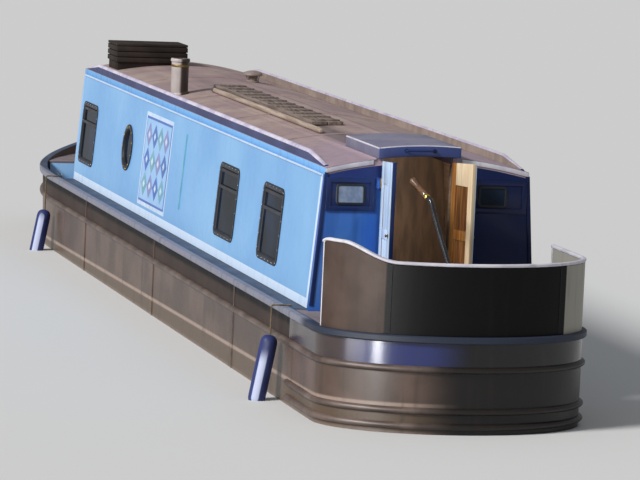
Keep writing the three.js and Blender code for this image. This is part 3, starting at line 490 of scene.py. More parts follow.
# Enamel of the slide hatch: its top has gone mauve like the roof, its rear face is still blue
hatch_face = [(ahead, bulkhead_x - 0.040, bulkhead_x - 0.050, "#37477f")]
hatch_enamel = paint("faded_hatch_enamel", "#716f85", "#828092", 0.6, 380, "#5c5866", 0.35, 18, 0.5,
                     zones=hatch_face, shine=0.35)
# Cream enamel of the chimney, with its starboard side painted dark as shade
shade_side_from = 0.3 * (bulkhead_x + 6.0)
shade_side = [((0.3, -1, 0), shade_side_from - 0.645, shade_side_from - 0.62, "#3a2c26")]
cream_enamel = paint("cream_chimney_enamel", "#bdb2ae", "#aba09c", 0.4, 160, "#8a7766", 0.4, 14, 0.3,
                     zones=shade_side)
# Dark, dry wood stain on the slatted roof box
box_stain = paint("dark_box_stain", "#2a2420", "#382f2a", 0.7, 240, "#1a1614", 0.35, 16, 0.8, shine=0.2)
# Engine enamel: a soft green with oil on it
engine_enamel = paint("green_engine_enamel", "#3f6b4a", "#4c7656", 0.42, 180, "#1e2a20", 0.4, 12, 0.3)
# Anodised aluminium of the window frames, painted dark: satin
frame_enamel = paint("dark_window_frame_enamel", "#1d2026", "#2a2e38", 0.42, 200, "#131519", 0.2, 18, 0.1,
                     shine=0.3)
print(len(bpy.data.materials), "materials so far")

# %% [markdown]
# ## Metal, wood, rope and glass
#
# Bare metal shows its reflections, so it has a high metallic value and a base colour, and what
# tells brass from a yellow paint is how it tarnishes: dull brown patches over a clean gloss.
# Varnished wood is stretched noise: long along the grain and narrow across it, under a clear
# coat. Rope and rubber are soft to light, with a high roughness. The glass of the windows is
# painted dark as the shade of the cabin behind it, lets little through and mirrors almost nothing.


# %% Metal
def metal(name, colour, tarnish, roughness, tarnished=0.5, patch_mm=60):
    """Bare metal with tarnished patches, which are darker and duller."""
    material, tree, shader, place = started(name)
    patches = patches_of(tree, place, patch_mm, 0.4, 0.7)
    share = add(tree, "ShaderNodeMath", {0: patches, 1: tarnished}, **multiply)
    dulled = {"Value": share, "To Min": roughness, "To Max": roughness + 0.35}
    fill(tree, shader, {
        "Base Color": add(tree, "ShaderNodeMix", {0: share, 6: srgb(colour), 7: srgb(tarnish)}, **of_colours),
        "Roughness": add(tree, "ShaderNodeMapRange", dulled),
        "Metallic": 1.0,
    })
    return material


# Yellow brass, polished by hand: warm and mirror-like with brown tarnish
brass = metal("polished_brass", "#d8b25a", "#7a5a2a", 0.22, 0.4)
# The same brass left to the weather on the doors and the chimney: dull and brown
dull_brass = metal("weathered_brass", "#8a7448", "#4e3f28", 0.5, 0.6)
# Cast manganese bronze of the propeller: browner and satin
bronze = metal("cast_bronze", "#a9814a", "#5e4526", 0.38, 0.6)
# Mild steel, oiled: grey with a brown bloom
oiled_steel = metal("oiled_mild_steel", "#8f9194", "#5c4c40", 0.38, 0.5)
# Stainless steel of the screws and the locker's pull: pale and even
stainless = metal("brushed_stainless", "#c6c8ca", "#8b8d90", 0.25, 0.3)
print("5 metals")


# %% Wood
def wood(name, pale, dark, roughness, coat, grain_mm=26, grain=(1, 1, 0.06)):
    """Wood with its grain drawn out along one direction, under varnish where coat is above 0."""
    material, tree, shader, place = started(name)
    drawn_out = add(tree, "ShaderNodeMapping", {"Vector": place, "Scale": grain})
    figure = patches_of(tree, drawn_out, grain_mm, 0.34, 0.66, 6.0)
    boards = patches_of(tree, drawn_out, 8 * grain_mm, 0.3, 0.7, 1.0)
    share = add(tree, "ShaderNodeMath", {0: boards, 1: 0.35}, **multiply)
    base = add(tree, "ShaderNodeMix", {0: figure, 6: srgb(pale), 7: srgb(dark)}, **of_colours)
    fill(tree, shader, {
        "Base Color": add(tree, "ShaderNodeMix", {0: share, 6: base, 7: srgb(dark)}, **of_colours),
        "Normal": add(tree, "ShaderNodeBump", {"Height": figure, "Strength": 0.3, "Distance": 0.0004}),
        "Roughness": roughness,
        "IOR": 1.5,
        "Coat Weight": coat,
        "Coat Roughness": 0.1,
    })
    return material


# Pitch pine under yacht varnish, honey yellow with brown grain; it stands upright on the doors
varnished_pine = wood("varnished_pitch_pine", "#a8743a", "#7c4c22", 0.35, 0.6)
# Pale pine as painted sunlight, on the edges that stand out of the doorway
sunlit_pine = wood("pine_painted_sunlit", "#ecd8b4", "#d6bb98", 0.5, 0.3)
# Thin pine boards in the doors' fields: redder and darker under older varnish
pine_boards = wood("old_varnished_pine_boards", "#885a2e", "#5a371a", 0.4, 0.5, 22)
# Bare pine gone pale and grey, with its grain along the pole
weathered_pole = wood("weathered_pine_pole", "#bfae9f", "#93806f", 0.6, 0.1, 26, (0.06, 1, 1))
# Ash in the tiller's grip
turned_ash = wood("varnished_turned_ash", "#7d5533", "#4f331f", 0.3, 0.7, 14, (0.08, 1, 1))
# Plywood partitions, stained dark: a wide, soft figure
dark_ply = wood("dark_stained_plywood", "#6a5442", "#4a3a2e", 0.6, 0.0, 60, (0.2, 1, 0.2))
# Oak boards, weathered grey-brown, for the gangplank
grey_oak = wood("weathered_oak_board", "#908078", "#65574f", 0.75, 0.0, 22, (0.05, 1, 1))
# Lining boards inside the cabin, in shade: brown and satin
lining = wood("oiled_lining_board", "#8a7262", "#62503f", 0.5, 0.2, 40, (0.1, 1, 1))
print("8 woods")


# %% Rope, rubber and glass
def soft(name, colour, worn, roughness, size_mm, relief_mm):
    """A dull, slightly uneven surface: rope fibre or moulded rubber."""
    material, tree, shader, place = started(name)
    fibre = add(tree, "ShaderNodeTexNoise", {"Vector": place, "Scale": 5000 / size_mm, "Detail": 2.0}, "Fac")
    relief = {"Height": fibre, "Strength": 0.6, "Distance": relief_mm / 1000}
    fill(tree, shader, {
        "Base Color": patchy(tree, place, size_mm, 0.3, 0.7, colour, worn),
        "Normal": add(tree, "ShaderNodeBump", relief),
        "Roughness": roughness,
    })
    return material


def glass(name, colour, clouded, size_mm, high, amounts):
    """Smooth glass with something uneven in it or close behind it."""
    material, tree, shader, place = started(name)
    clouds = patchy(tree, place, size_mm, 0.3, high, colour, clouded)
    fill(tree, shader, {"Base Color": clouds, **amounts})
    return material


# Three-strand manila: weathered brown, grey where it has been wet
manila = soft("manila_rope", "#7b6b52", "#5c5040", 0.9, 40, 1.0)
# Tarred hemp of the bow fender: brown and hairy
tarred_hemp = soft("tarred_hemp", "#7d6a4d", "#4c4031", 0.92, 30, 2.0)
# Black EPDM of the window gaskets
gasket_rubber = soft("black_gasket_rubber", "#1c1d20", "#2a2b2e", 0.7, 60, 0.3)
# Float glass painted dark as the shade of the cabin behind it: it lets little through and hardly mirrors
clear = {"Roughness": 0.06, "IOR": 1.52, "Specular IOR Level": 0.01, "Transmission Weight": 0.1}
window_glass = glass("float_glass_painted_dark", "#10181f", "#1f2d42", 380, 0.75, clear)
# Glass with a grey curtain behind it in the small windows of the rear wall
curtained = {"Roughness": 0.15, "IOR": 1.5, "Coat Weight": 0.4}
curtained_glass = glass("curtained_glass", "#6c7f9c", "#8b9bb2", 45, 0.7, curtained)
# Pressed clear glass of the headlamp: pale and shiny
pressed = {"Roughness": 0.08, "IOR": 1.5, "Coat Weight": 0.6}
lens_glass = glass("pressed_lamp_glass", "#cfd4d6", "#eef1f2", 12, 0.7, pressed)

# Moulded PVC of the side fenders: navy, with a nearly white painted highlight on the side that faces the
# light, below their tops
fender_vinyl, tree, shader, place = started("navy_moulded_pvc")
normal = add(tree, "ShaderNodeTexCoord", output="Normal")
facing = add(tree, "ShaderNodeSeparateXYZ", {0: normal}, None)
spot = add(tree, "ShaderNodeSeparateXYZ", {0: place}, None)
side_sign = add(tree, "ShaderNodeMath", {0: spot["Y"]}, operation="SIGN")
outboard = add(tree, "ShaderNodeMath", {0: facing["Y"], 1: side_sign}, **multiply)
# The painted highlight is laid where the surface faces the direction of the light
light_ahead, light_outboard = -0.88, 0.47
astern = add(tree, "ShaderNodeMath", {0: facing["X"], 1: light_ahead}, **multiply)
toward_light = add(tree, "ShaderNodeMath", {0: outboard, 1: light_outboard, 2: astern}, operation="MULTIPLY_ADD")
facing_light = add(tree, "ShaderNodeMapRange", {"Value": toward_light, "From Min": 0.87, "From Max": 0.93}, **smooth)
below = add(tree, "ShaderNodeMapRange", {"Value": spot["Z"], "From Min": 0.90, "From Max": 0.78}, **smooth)
highlight_share = add(tree, "ShaderNodeMath", {0: facing_light, 1: below}, **multiply)
faint_highlight = add(tree, "ShaderNodeMath", {0: highlight_share, 1: 0.85}, **multiply)
navy = patchy(tree, place, 220, 0.3, 0.7, "#232c5c", "#313b70")
navy_with_highlight = add(tree, "ShaderNodeMix", {0: faint_highlight, 6: navy, 7: srgb("#cdd5f0")}, **of_colours)
fill(tree, shader, {"Base Color": navy_with_highlight, "Roughness": 0.5, "Specular IOR Level": 0.3})
print(len(bpy.data.materials), "materials")

# %% [markdown]
# ## The studio
#
# The floor lies at the waterline and starts at the hull, so nothing of it is inside the boat.
# A wide soft sun stands for a softbox far off the port quarter, which is where the light on the
# real boat comes from: it lights the port side and the port cheek of the stern and leaves the
# far side of the open door in shade. Two cards beside the stern are only mirrored in the gloss
# of the counter, and the pale surroundings fill the shadows.


# %% Hull lines at the waterline and above
stern_straight = 0.75
stern_round = -stern_straight - along("stern_counter")[0] - reach
shoulder, stem_top = along("bow_port")
bow_rake = 0.26
bow_sheer = 0.17
fullness_top, fullness_foot = 1.4, 1.2
stem_x = along("stem_post")[1] - 0.0507
bow_steps = [0.975 * i / 40 for i in range(41)]


def stern_line(out, steps=96, front=0.0):
    """The rounded stern in plan from port round to starboard, moved out from the plating."""
    points = [(front, half_beam + out)]
    for i in range(steps + 1):
        angle = math.pi * (0.5 + i / steps)
        across = (half_beam + out) * math.sin(angle)
        points.append(((stern_round + out) * math.cos(angle) - stern_straight, across))
    return points + [(front, -half_beam - out)]


def bow_top(step):
    """The gunwale rises towards the stem."""
    return gunwale + bow_sheer * step * step


def bow_half(step, rise):
    """Half the bow's width: step runs from 0 at the shoulder to 1 at the stem."""
    foot = math.cos(math.pi / 2 * step ** fullness_foot)
    top = math.cos(math.pi / 2 * step ** fullness_top)
    return half_beam * (foot + (top - foot) * rise)


def bow_place(step, height, out):
    """A place on the bow plating, moved out from it, as (forward, across)."""
    rise = (height - 0.01) / (bow_top(step) - 0.01)
    length = stem_x - bow_rake * (1 - rise) - shoulder
    slope = (bow_half(step + 0.002, rise) - bow_half(max(step - 0.002, 0), rise)) / 0.004
    normal = Vector((-slope, length)).normalized()
    return shoulder + step * length + out * normal.x, bow_half(step, rise) + out * normal.y


print("rounded stern", round(stern_round, 3), "m deep, bow", round(stem_top - shoulder, 2), "m long")

# %% The floor
floor_reach = 600
tuck = 0.006
bow_edge = [bow_place(step, waterline, -tuck) for step in bow_steps]
hull_edge = stern_line(-tuck) + [(x, -y) for x, y in bow_edge] + bow_edge[::-1]
amidships = at(5.5, 0, waterline)
floor_mesh = bmesh.new()
near = [floor_mesh.verts.new(at(x, y, waterline)) for x, y in hull_edge]
far = [floor_mesh.verts.new(amidships + floor_reach * (v.co - amidships).normalized()) for v in near]
for i in range(len(near)):
    j = (i + 1) % len(near)
    floor_mesh.faces.new((near[i], near[j], far[j], far[i]))
bmesh.ops.recalc_face_normals(floor_mesh, faces=floor_mesh.faces)
# Matt pale grey studio paint
pale, tree, shader, place = started("pale_studio_floor")
fill(tree, shader, {"Base Color": srgb("#d6d5d3"), "Roughness": 0.9, "Specular IOR Level": 0.0})
finished(stood("studio_floor", floor_mesh), [pale], 0.0, 32)
print("floor from", len(near), "points of the hull's waterline")


# %% Light
def light(name, kind, place, direction, energy, **settings):
    """A light at a place. The direction is the one it shines from."""
    data = bpy.data.lights.new(name, kind)
    data.energy = energy
    for key, value in settings.items():
        setattr(data, key, value)
    obj = linked(name, data)
    obj.matrix_world = Matrix.Translation(place) @ direction.to_track_quat("Z", "Y").to_matrix().to_4x4()
    obj.visible_camera = False
    return obj


def towards(azimuth, height):
    """The direction to a light: degrees from dead astern round to port, and up."""
    azimuth, height = math.radians(azimuth), math.radians(height)
    flat = math.cos(height)
    return Vector((-math.cos(azimuth) * flat, math.sin(azimuth) * flat, math.sin(height)))


stern_deck = at(0, 0, 1.0)
key_height = 36
key = towards(67, key_height)
light("soft_key", "SUN", stern_deck + 40 * key, key, 3.3, angle=math.radians(14))
cards = {"bright_card": (39, 4.5, 0.5, 110), "dim_card": (58, 4.8, 1.6, 75)}
for name, (azimuth, distance, wide, energy) in cards.items():
    way = towards(azimuth, 4)
    size = {"shape": "RECTANGLE", "size": wide, "size_y": 1.9}
    card = light(name, "AREA", stern_deck + distance * way, way, energy, **size)
    card.visible_diffuse = False
surroundings = bpy.data.worlds.new("pale_surroundings")
surroundings.use_nodes = True
background = surroundings.node_tree.nodes["Background"]
fill(surroundings.node_tree, background, {"Color": srgb("#e4e8ee"), "Strength": 0.36})
bpy.context.scene.world = surroundings
print("key light", key_height, "degrees up")

# %% [markdown]
# ## The hull's side plating
#
# The plating of a narrowboat is one long section: a rounded band along the gunwale, a painted
# band below it, a half-round rubbing strake, and bitumen from there down. So one outline of the
# section is written once and carried along three lines: round the stern, along the straight
# side and up the bow. Each stretch of the outline knows its own finish.

# %% The section of the plating
hull_wall = 0.04
edge_depth = 0.05
edge_corner = 0.008
top_strake_drop = 0.24
counter_strake_drops = [0.54, 0.65]
strake_half = 0.024
hull_finishes = [blacking, gunwale_enamel, band_enamel, strake_black]
plating, edge, band, strake = range(4)


def plating_section(top, bottom, strake_drops=(top_strake_drop,)):
    """Outline of the plating as (out, height) points, and the finish of the stretch after each."""
    points = [(-hull_wall, top), (reach - edge_corner, top), (reach, top - edge_corner)]
    points += [(reach, top - edge_depth + edge_corner), (reach - edge_corner, top - edge_depth)]
    points += [(0, top - edge_depth)]
    numbers = [edge] * 5 + [band]
    for drop in strake_drops:
        angles = [math.pi / 2 - math.pi * i / 8 for i in range(9)]
        points += [(reach * math.cos(a), top - drop + strake_half * math.sin(a)) for a in angles]
        numbers += [strake] * 8 + [plating]
    return points + [(0, bottom), (-hull_wall, bottom)], numbers + [plating, plating]


print(len(plating_section(gunwale, 0.455)[0]), "points in the side's section")

# %% [markdown]
# ## The rounded stern
#
# The counter carries two more rubbing strakes near the water, where the stern meets lock walls.
# Every point of the section is moved along its own line round the stern, so the strakes keep
# their shape in the bend. 96 steps make the curve smooth in the close view that the stern gets.

# %% Counter
section, numbers = plating_section(gunwale, 0.43, [top_strake_drop, *counter_strake_drops])
lines = [stern_line(out, front=-0.0003) for out, _ in section]
counter_mesh = bmesh.new()
outlines = [[at(*place, z) for place, (_, z) in zip(places, section)] for places in zip(*lines)]
skin(counter_mesh, outlines, numbers)
counter_finishes = [blacking, gunwale_enamel, counter_enamel, strake_black]
counter = piece("counter_plating", counter_mesh, counter_finishes, "hull_blacking", "stern_counter")
print("counter", len(counter.data.polygons), "faces")

# %% [markdown]
# ## Straight sides and bow
#
# The sides are the same section between two bulkheads, with the side deck welded to their inner
# face. The bow narrows to the stem and its gunwale rises, so its section is worked out again at
# each of forty steps.

# %% Sides and bow plates
for side, sign in sides.items():
    start, end = along("hull_side_" + side)
    section, numbers = plating_section(gunwale, 0.4553)
    mesh = bmesh.new()
    skin(mesh, [[at(x, sign * (half_beam + out), z) for out, z in section] for x in (start, end)], numbers)
    inner = half_beam - hull_wall
    lower_plate = (along("swim")[1] + 0.0003, sign * inner, 0.0103)
    block(mesh, lower_plate, (end, sign * half_beam, 0.4563))
    side_deck = (0.0603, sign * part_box("hull_side_port")[0].y, gunwale - 0.015)
    block(mesh, side_deck, (cabin_length - 0.0003, sign * (inner + 0.002), gunwale - 0.0001), finish=edge)
    piece("side_plating_" + side, mesh, hull_finishes, "hull_blacking", "hull_side_" + side)

    mesh = bmesh.new()
    outlines = []
    for step in bow_steps:
        section, numbers = plating_section(bow_top(step), 0.0103)
        places = [bow_place(step, z, out) for out, z in section]
        outlines.append([at(x, sign * y, z) for (x, y), (_, z) in zip(places, section)])
    skin(mesh, outlines, numbers)
    piece("bow_plating_" + side, mesh, hull_finishes, "hull_blacking", "bow_" + side)
refined("stem_post", blacking, "hull_blacking", 0.008)
print("sides and bow plated")

# %% [markdown]
# ## Weld beads
#
# The plates come in lengths of three metres or so and are welded edge to edge. A weld is a bead
# of about a finger's width that follows the joint with small ripples. A Geometry Nodes tree
# makes it: the joint is drawn as a line, the line is cut into short steps, noise moves the
# thickness of each step, and a round section is carried along it. The same tree makes the
# gaskets, the beadings and the cords of this boat, with the ripple set to nothing.


# %% A bead along a line
def new_tree(title, **values):
    """A Geometry Nodes tree that takes lines, these values and a finish, and gives a mesh."""
    tree = bpy.data.node_groups.new(title, "GeometryNodeTree")
    kinds = {float: "Float", int: "Int", tuple: "Vector"}
    tree.interface.new_socket("Lines", in_out="INPUT", socket_type="NodeSocketGeometry")
    for name, value in values.items():
        kind = "NodeSocket" + kinds[type(value)]
        tree.interface.new_socket(name, in_out="INPUT", socket_type=kind).default_value = value
    tree.interface.new_socket("Finish", in_out="INPUT", socket_type="NodeSocketMaterial")
    tree.interface.new_socket("Mesh", in_out="OUTPUT", socket_type="NodeSocketGeometry")
    return tree, add(tree, "NodeGroupInput", output=None)


def ended(tree, geometry, finish):
    """Ends a tree: its copies become real, and all of it takes the finish."""
    real = add(tree, "GeometryNodeRealizeInstances", {"Geometry": geometry})
    done = add(tree, "GeometryNodeSetMaterial", {"Geometry": real, "Material": finish})
    add(tree, "NodeGroupOutput", {"Mesh": done}, None)
    print(len(tree.nodes), "nodes for a", tree.name)


beads, given = new_tree("bead along a line", Radius=0.006, Step=0.02, Ripple=0.3)
curve = add(beads, "GeometryNodeMeshToCurve", {"Mesh": given["Lines"]})
stepped = add(beads, "GeometryNodeResampleCurve", {"Curve": curve, "Length": given["Step"]}, mode="LENGTH")
pattern = add(beads, "ShaderNodeTexNoise", {"Scale": 30.0, "Detail": 1.0})
centred = add(beads, "ShaderNodeMath", {0: pattern, 1: 0.5}, operation="SUBTRACT")
swing = add(beads, "ShaderNodeMath", {0: centred, 1: given["Ripple"]}, **multiply)
uneven = add(beads, "ShaderNodeMath", {0: 1.0, 1: swing}, operation="ADD")
thick = add(beads, "ShaderNodeMath", {0: uneven, 1: given["Radius"]}, **multiply)
ring = add(beads, "GeometryNodeCurvePrimitiveCircle", {"Resolution": 8, "Radius": 1.0})
swept = {"Curve": stepped, "Profile Curve": ring, "Scale": thick, "Fill Caps": True}
ended(beads, add(beads, "GeometryNodeCurveToMesh", swept), given["Finish"])


# %% Running a tree on lines
def grown(name, lines, tree, values, looped=False):
    """Runs a tree on lines of points and keeps the result as a plain mesh."""
    mesh = bmesh.new()
    for line in lines:
        corners = [mesh.verts.new(point) for point in line]
        for first, second in zip(corners, corners[1:] + (corners[:1] if looped else [])):
            mesh.edges.new((first, second))
    obj = stood(name, mesh)
    modifier = obj.modifiers.new("grown", "NODES")
    modifier.node_group = tree
    for item in tree.interface.items_tree:
        if item.in_out == "INPUT" and item.name in values:
            modifier[item.identifier] = values[item.name]
    return smoothed(settled(obj))


def bead(name, lines, finish, slot, radius, ripple=0.0, step=0.02, looped=False, node=(), body="hull"):
    """A bead along lines as a piece of the boat."""
    values = {"Radius": radius, "Ripple": ripple, "Step": step, "Finish": finish}
    return fitted(grown(name, lines, beads, values, looped), slot, *node, body=body)


strake_top, strake_foot = top_strake_drop - strake_half, top_strake_drop + strake_half
first_joint, plate_length = 1.83, 3.05
for side, sign in sides.items():
    joints = []
    x = first_joint
    while x < shoulder - 0.3:
        for heights in ((0.46, 0.7, gunwale - strake_foot), (gunwale - strake_top, gunwale - edge_depth)):
            joints.append([at(x, sign * (half_beam + 0.001), z) for z in heights])
        x += plate_length
    bead("plate_welds_" + side, joints, blacking, "hull_blacking", 0.007, 0.9)
for drop in (edge_depth, strake_foot, *(d + strake_half for d in counter_strake_drops)):
    line = [at(x, y, gunwale - drop) for x, y in stern_line(0.001, 60)]
    bead("stern_weld_" + str(round(1000 * drop)), [line], blacking, "hull_blacking", 0.005, 0.9)
print("welds along", len(joints), "joints a side")

# %% [markdown]
# ## Bulwark and rail
#
# A raised steel panel closes the stern deck. To port its top sweeps up and ends ahead of the
# quarter, where people step aboard. To starboard it stays level and runs on to the cabin. A white
# rail lies along the top and turns down at both ends. The panel is plate of three lengths, so
# a flat strap covers each butt joint, and upright flat bars stiffen it inside. A station is an
# angle round the stern and a distance ahead of it, and the shape is a height for each station.

# %% The bulwark's sweep
bulwark_end = 83
bulwark_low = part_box("bulwark_rail")[0].z - 0.0009
bulwark_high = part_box("stern_bulwark")[1].z
bulwark_front = along("stern_bulwark")[1]
sweep_from, sweep_to = 33, 64
corner_from, corner_drop = 76, 0.02


def bulwark_top(angle):
    """Height of the panel's top edge at an angle in degrees from dead astern round to port."""
    share = min(max((angle - sweep_from) / (sweep_to - sweep_from), 0), 1)
    corner = max(0, angle - corner_from) / (bulwark_end - corner_from)
    sweep = share * share * (3 - 2 * share)
    return bulwark_low + (bulwark_high - bulwark_low) * sweep - corner_drop * corner ** 2


def on_stern(angle, inset, height, ahead_by=0.0):
    """A place on the bulwark's line, moved in by inset and forward by a distance."""
    turned_to = math.radians(angle)
    x = -stern_straight - (stern_round - inset) * math.cos(turned_to) + ahead_by
    return at(x, (half_beam - inset) * math.sin(turned_to), height)


def upright(mesh, plan, foot_z, tops, deepest=1.0):
    """A flat bar that stands on (angle, inset) corners in plan and ends at these heights."""
    head = [on_stern(angle, min(inset, deepest), z) for (angle, inset), z in zip(plan, tops)]
    skin(mesh, [[on_stern(angle, inset, foot_z) for angle, inset in plan], head])


stations = [(bulwark_end - (bulwark_end + 90) * i / 96, 0.0) for i in range(97)]
stations.append((-90, bulwark_front + stern_straight))
foot_z = gunwale + 0.0003
panel_mesh = bmesh.new()
outlines = []
for angle, ahead_by in stations:
    top = bulwark_top(angle)
    outline = [(0.008, foot_z), (0.008, top - 0.003), (0.011, top), (0.029, top), (0.032, top - 0.003)]
    outlines.append([on_stern(angle, inset, z, ahead_by) for inset, z in [*outline, (0.032, foot_z)]])
skin(panel_mesh, outlines)
for joint in (port_joint, starboard_joint):
    for near_in, far_in in ((0.0035, 0.0095), (0.031, 0.038)):
        plan = [(joint - 2.2, near_in), (joint - 2.2, far_in), (joint + 2.2, far_in), (joint + 2.2, near_in)]
        upright(panel_mesh, plan, gunwale + 0.004, [bulwark_top(angle) - 0.004 for angle, _ in plan])
for angle in (-75, -56, -18, 0, 18, 56, 75):
    plan = [(angle - 0.35, 0.031), (angle - 0.35, 0.075), (angle + 0.35, 0.075), (angle + 0.35, 0.031)]
    upright(panel_mesh, plan, gunwale + 0.003, [bulwark_top(angle) - 0.03] * 4, deepest=0.05)
bulwark = piece("bulwark_panel", panel_mesh, [bulwark_black], "black_paint", "stern_bulwark")
print("bulwark", len(bulwark.data.polygons), "faces")


# %% The white rail
def squared(share):
    """A sine or cosine drawn out, so that a circle becomes a bar with round corners."""
    return math.copysign(abs(share) ** 0.7, share)


rail_mesh = bmesh.new()
turns = [2 * math.pi * k / 12 for k in range(12)]
profile = [(0.02 - 0.0195 * squared(math.cos(a)), 0.0135 + 0.0125 * squared(math.sin(a))) for a in turns]
outlines = []
for angle, ahead_by in stations:
    top = bulwark_top(angle)
    outlines.append([on_stern(angle, inset, top + lift, ahead_by) for inset, lift in profile])
skin(rail_mesh, outlines)
for angle, ahead_by in ((bulwark_end - 1.1, 0.0), (-90, stations[-1][1] - 0.018)):
    foot = on_stern(angle, 0.02, gunwale + 0.001, ahead_by)
    tube(rail_mesh, [foot, on_stern(angle, 0.02, bulwark_top(angle) + 0.012, ahead_by)], 0.0145, 14)
piece("rail_round_the_stern", rail_mesh, [chalk_white], "rail_white", "bulwark_rail")
print("rail", round(sum((a[0] - b[0]).length for a, b in zip(outlines, outlines[1:])), 2), "m long")

# %% [markdown]
# ## Stern deck
#
# The deck is plate with sand in its paint, and keeps its two turned dollies from the frame. Two
# covers lift out over the engine. They are separate boards with a narrow gap around each, so
# they are made as rows of thin blocks.

# %% Deck, dollies and engine covers
deck_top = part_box("uxter_plate")[1].z - 0.03
refined("stern_deck", deck_sand, "deck_paint", 0.0015)
cover_mesh = bmesh.new()
cover_start, cover_width, cover_count = -0.60, 0.15, 4
for sign in (1, -1):
    for k in range(cover_count):
        x = cover_start + cover_width * k
        end = (x + cover_width - 0.008, sign * 0.62, deck_top + 0.007)
        block(cover_mesh, (x, sign * 0.06, deck_top + 0.0005), end)
piece("engine_covers", cover_mesh, [deck_sand], "deck_paint", edge=0.0015)
print("deck top at", round(deck_top, 3), "with", 2 * cover_count, "covers")

# %% [markdown]
# ## Cabin sides
#
# The sides lean in by a few degrees, so everything on them is placed in their own plane: forward
# along the boat, up the slope from the gunwale, and out from the plate. The plates themselves
# are right in the frame and only get their enamel, a seam strip and a gutter under the roof.

# %% A place on the cabin side
foot_half = 0.869
side_height = 1.056
lean_in = math.atan((foot_half - roof_half) / side_height)


def on_side(sign, x, rise, out):
    """A place on the cabin side: forward, up the slope from the gunwale, and out from the plate."""
    across = foot_half - rise * math.sin(lean_in) + out * math.cos(lean_in)
    return at(x, sign * across, gunwale + rise * math.cos(lean_in) + out * math.sin(lean_in))


for side, sign in sides.items():
    plate = frame["nodes"]["cabin_side_" + side].data
    plate.materials.clear()
    plate.materials.append(sky_enamel)
    seam = [on_side(sign, 4.68, rise, 0.0015) for rise in (0.23, 0.55, 0.87)]
    bead("side_seam_" + side, [seam], teal_enamel, "cabin_blue", 0.008, 0.2)
    gutter = [on_side(sign, x, 1.004, 0.004) for x in (0.06, cabin_length / 2, cabin_length - 0.06)]
    bead("gutter_" + side, [gutter], white_enamel, "rail_white", 0.009, step=0.2)
print("side leans in by", round(math.degrees(lean_in), 2), "degrees")

# %% [markdown]
# ## Windows
#
# A narrowboat window is an aluminium frame with a flange outside the plate, a rubber gasket, one
# pane below and a hopper above that tips in. The round ones are portholes with a heavier ring.
# The frame is one section carried round a rectangle with round corners, or round a circle. Its
# screws are spaced along the flange by a second Geometry Nodes tree, which turns every head to
# face out of the plate.

# %% Screws along a line
out_of_plate = (0.0, 0.0, 1.0)
studs, given = new_tree("row of domed heads", Spacing=0.1, Radius=0.006, Rise=0.5, Facing=out_of_plate)
curve = add(studs, "GeometryNodeMeshToCurve", {"Mesh": given["Lines"]})
spaced = {"Curve": curve, "Length": given["Spacing"]}
points = add(studs, "GeometryNodeCurveToPoints", spaced, "Points", mode="LENGTH")
ball = {"Segments": 10, "Rings": 6, "Radius": given["Radius"]}
head = add(studs, "GeometryNodeMeshUVSphere", ball, "Mesh")
squash = add(studs, "ShaderNodeCombineXYZ", {"X": 1.0, "Y": 1.0, "Z": given["Rise"]})
turned_out = add(studs, "FunctionNodeAlignRotationToVector", {"Vector": given["Facing"]}, axis="Z")
placed = {"Points": points, "Instance": head, "Rotation": turned_out, "Scale": squash}
ended(studs, add(studs, "GeometryNodeInstanceOnPoints", placed), given["Finish"])


# %% One window
def round_rectangle(half_width, half_height, corner, shrink):
    """Points round a rectangle with round corners, as (forward, up) from its middle."""
    points = []
    for quarter, toward_x, toward_y in ((0, 1, 1), (1, -1, 1), (2, -1, -1), (3, 1, -1)):
        for i in range(9):
            angle = math.pi / 2 * (quarter + i / 8)
            x = toward_x * (half_width - corner) + (corner - shrink) * math.cos(angle)
            points.append((x, toward_y * (half_height - corner) + (corner - shrink) * math.sin(angle)))
    return points


def carried(mesh, section, loop):
    """Carries a section of (shrink, out) points round a loop."""
    skin(mesh, list(zip(*[loop(*point) for point in section])), looped=True)


def window(side, sign, number):
    """A framed window in the plane of the cabin side, with its gasket, pane, hopper and screws."""
    node = f"window_{side}_{number}"
    low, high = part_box(node)
    middle_x = middle(node)[0]
    middle_rise = ((low.z + high.z) / 2 - gunwale) / math.cos(lean_in)
    half_width = (high.x - low.x) / 2
    porthole = number == 3
    corner = half_width if porthole else 0.06
    half_height = half_width if porthole else (high.z - low.z) / 2 / math.cos(lean_in)

    def place(x, up, out):
        return on_side(sign, middle_x + x, middle_rise + up, out)

    def loop(shrink, out):
        return [place(x, up, out) for x, up in round_rectangle(half_width, half_height, corner, shrink)]

    thick = 0.011 if porthole else 0.006
    flange = [(-0.014, 0.0004), (-0.014, thick - 0.003), (-0.010, thick), (0.018, thick)]
    tray = [(0.026, thick - 0.004), (0.031, -0.004), (0.031, -0.038), (0.001, -0.038), (0.001, 0.0004)]
    mesh = bmesh.new()
    carried(mesh, flange + tray, loop)
    skin(mesh, [loop(0.030, -0.013), loop(0.030, -0.019)], 2)
    if not porthole:
        bar_rise, hopper_top, inner = half_height * 0.36, half_height - 0.04, half_width - 0.030
        for rise, deep in ((bar_rise, 0.004), (half_height - 0.052, 0.0)):
            block(mesh, (-inner, rise - 0.013, -0.024), (inner, rise + 0.013, deep), place)
        for x in (-inner + 0.013, inner - 0.013):
            block(mesh, (x - 0.012, bar_rise, -0.022), (x + 0.012, hopper_top, -0.002), place)
    glazed = [frame_enamel, gasket_rubber, window_glass]
    piece(node + "_framed", mesh, glazed, "window_glass", node, angle=40)
    gasket = [loop(0.0325, -0.010)]
    bead(node + "_gasket", gasket, gasket_rubber, "fender_rubber", 0.004, step=0.03, looped=True)
    facing = place(0, 0, 1) - place(0, 0, 0)
    screws = {"Spacing": 0.115, "Radius": 0.009 if porthole else 0.0055, "Facing": facing}
    screws["Finish"] = brass if porthole else stainless
    fitted(grown(node + "_screws", [loop(0.003, thick)], studs, screws, looped=True), "steel")


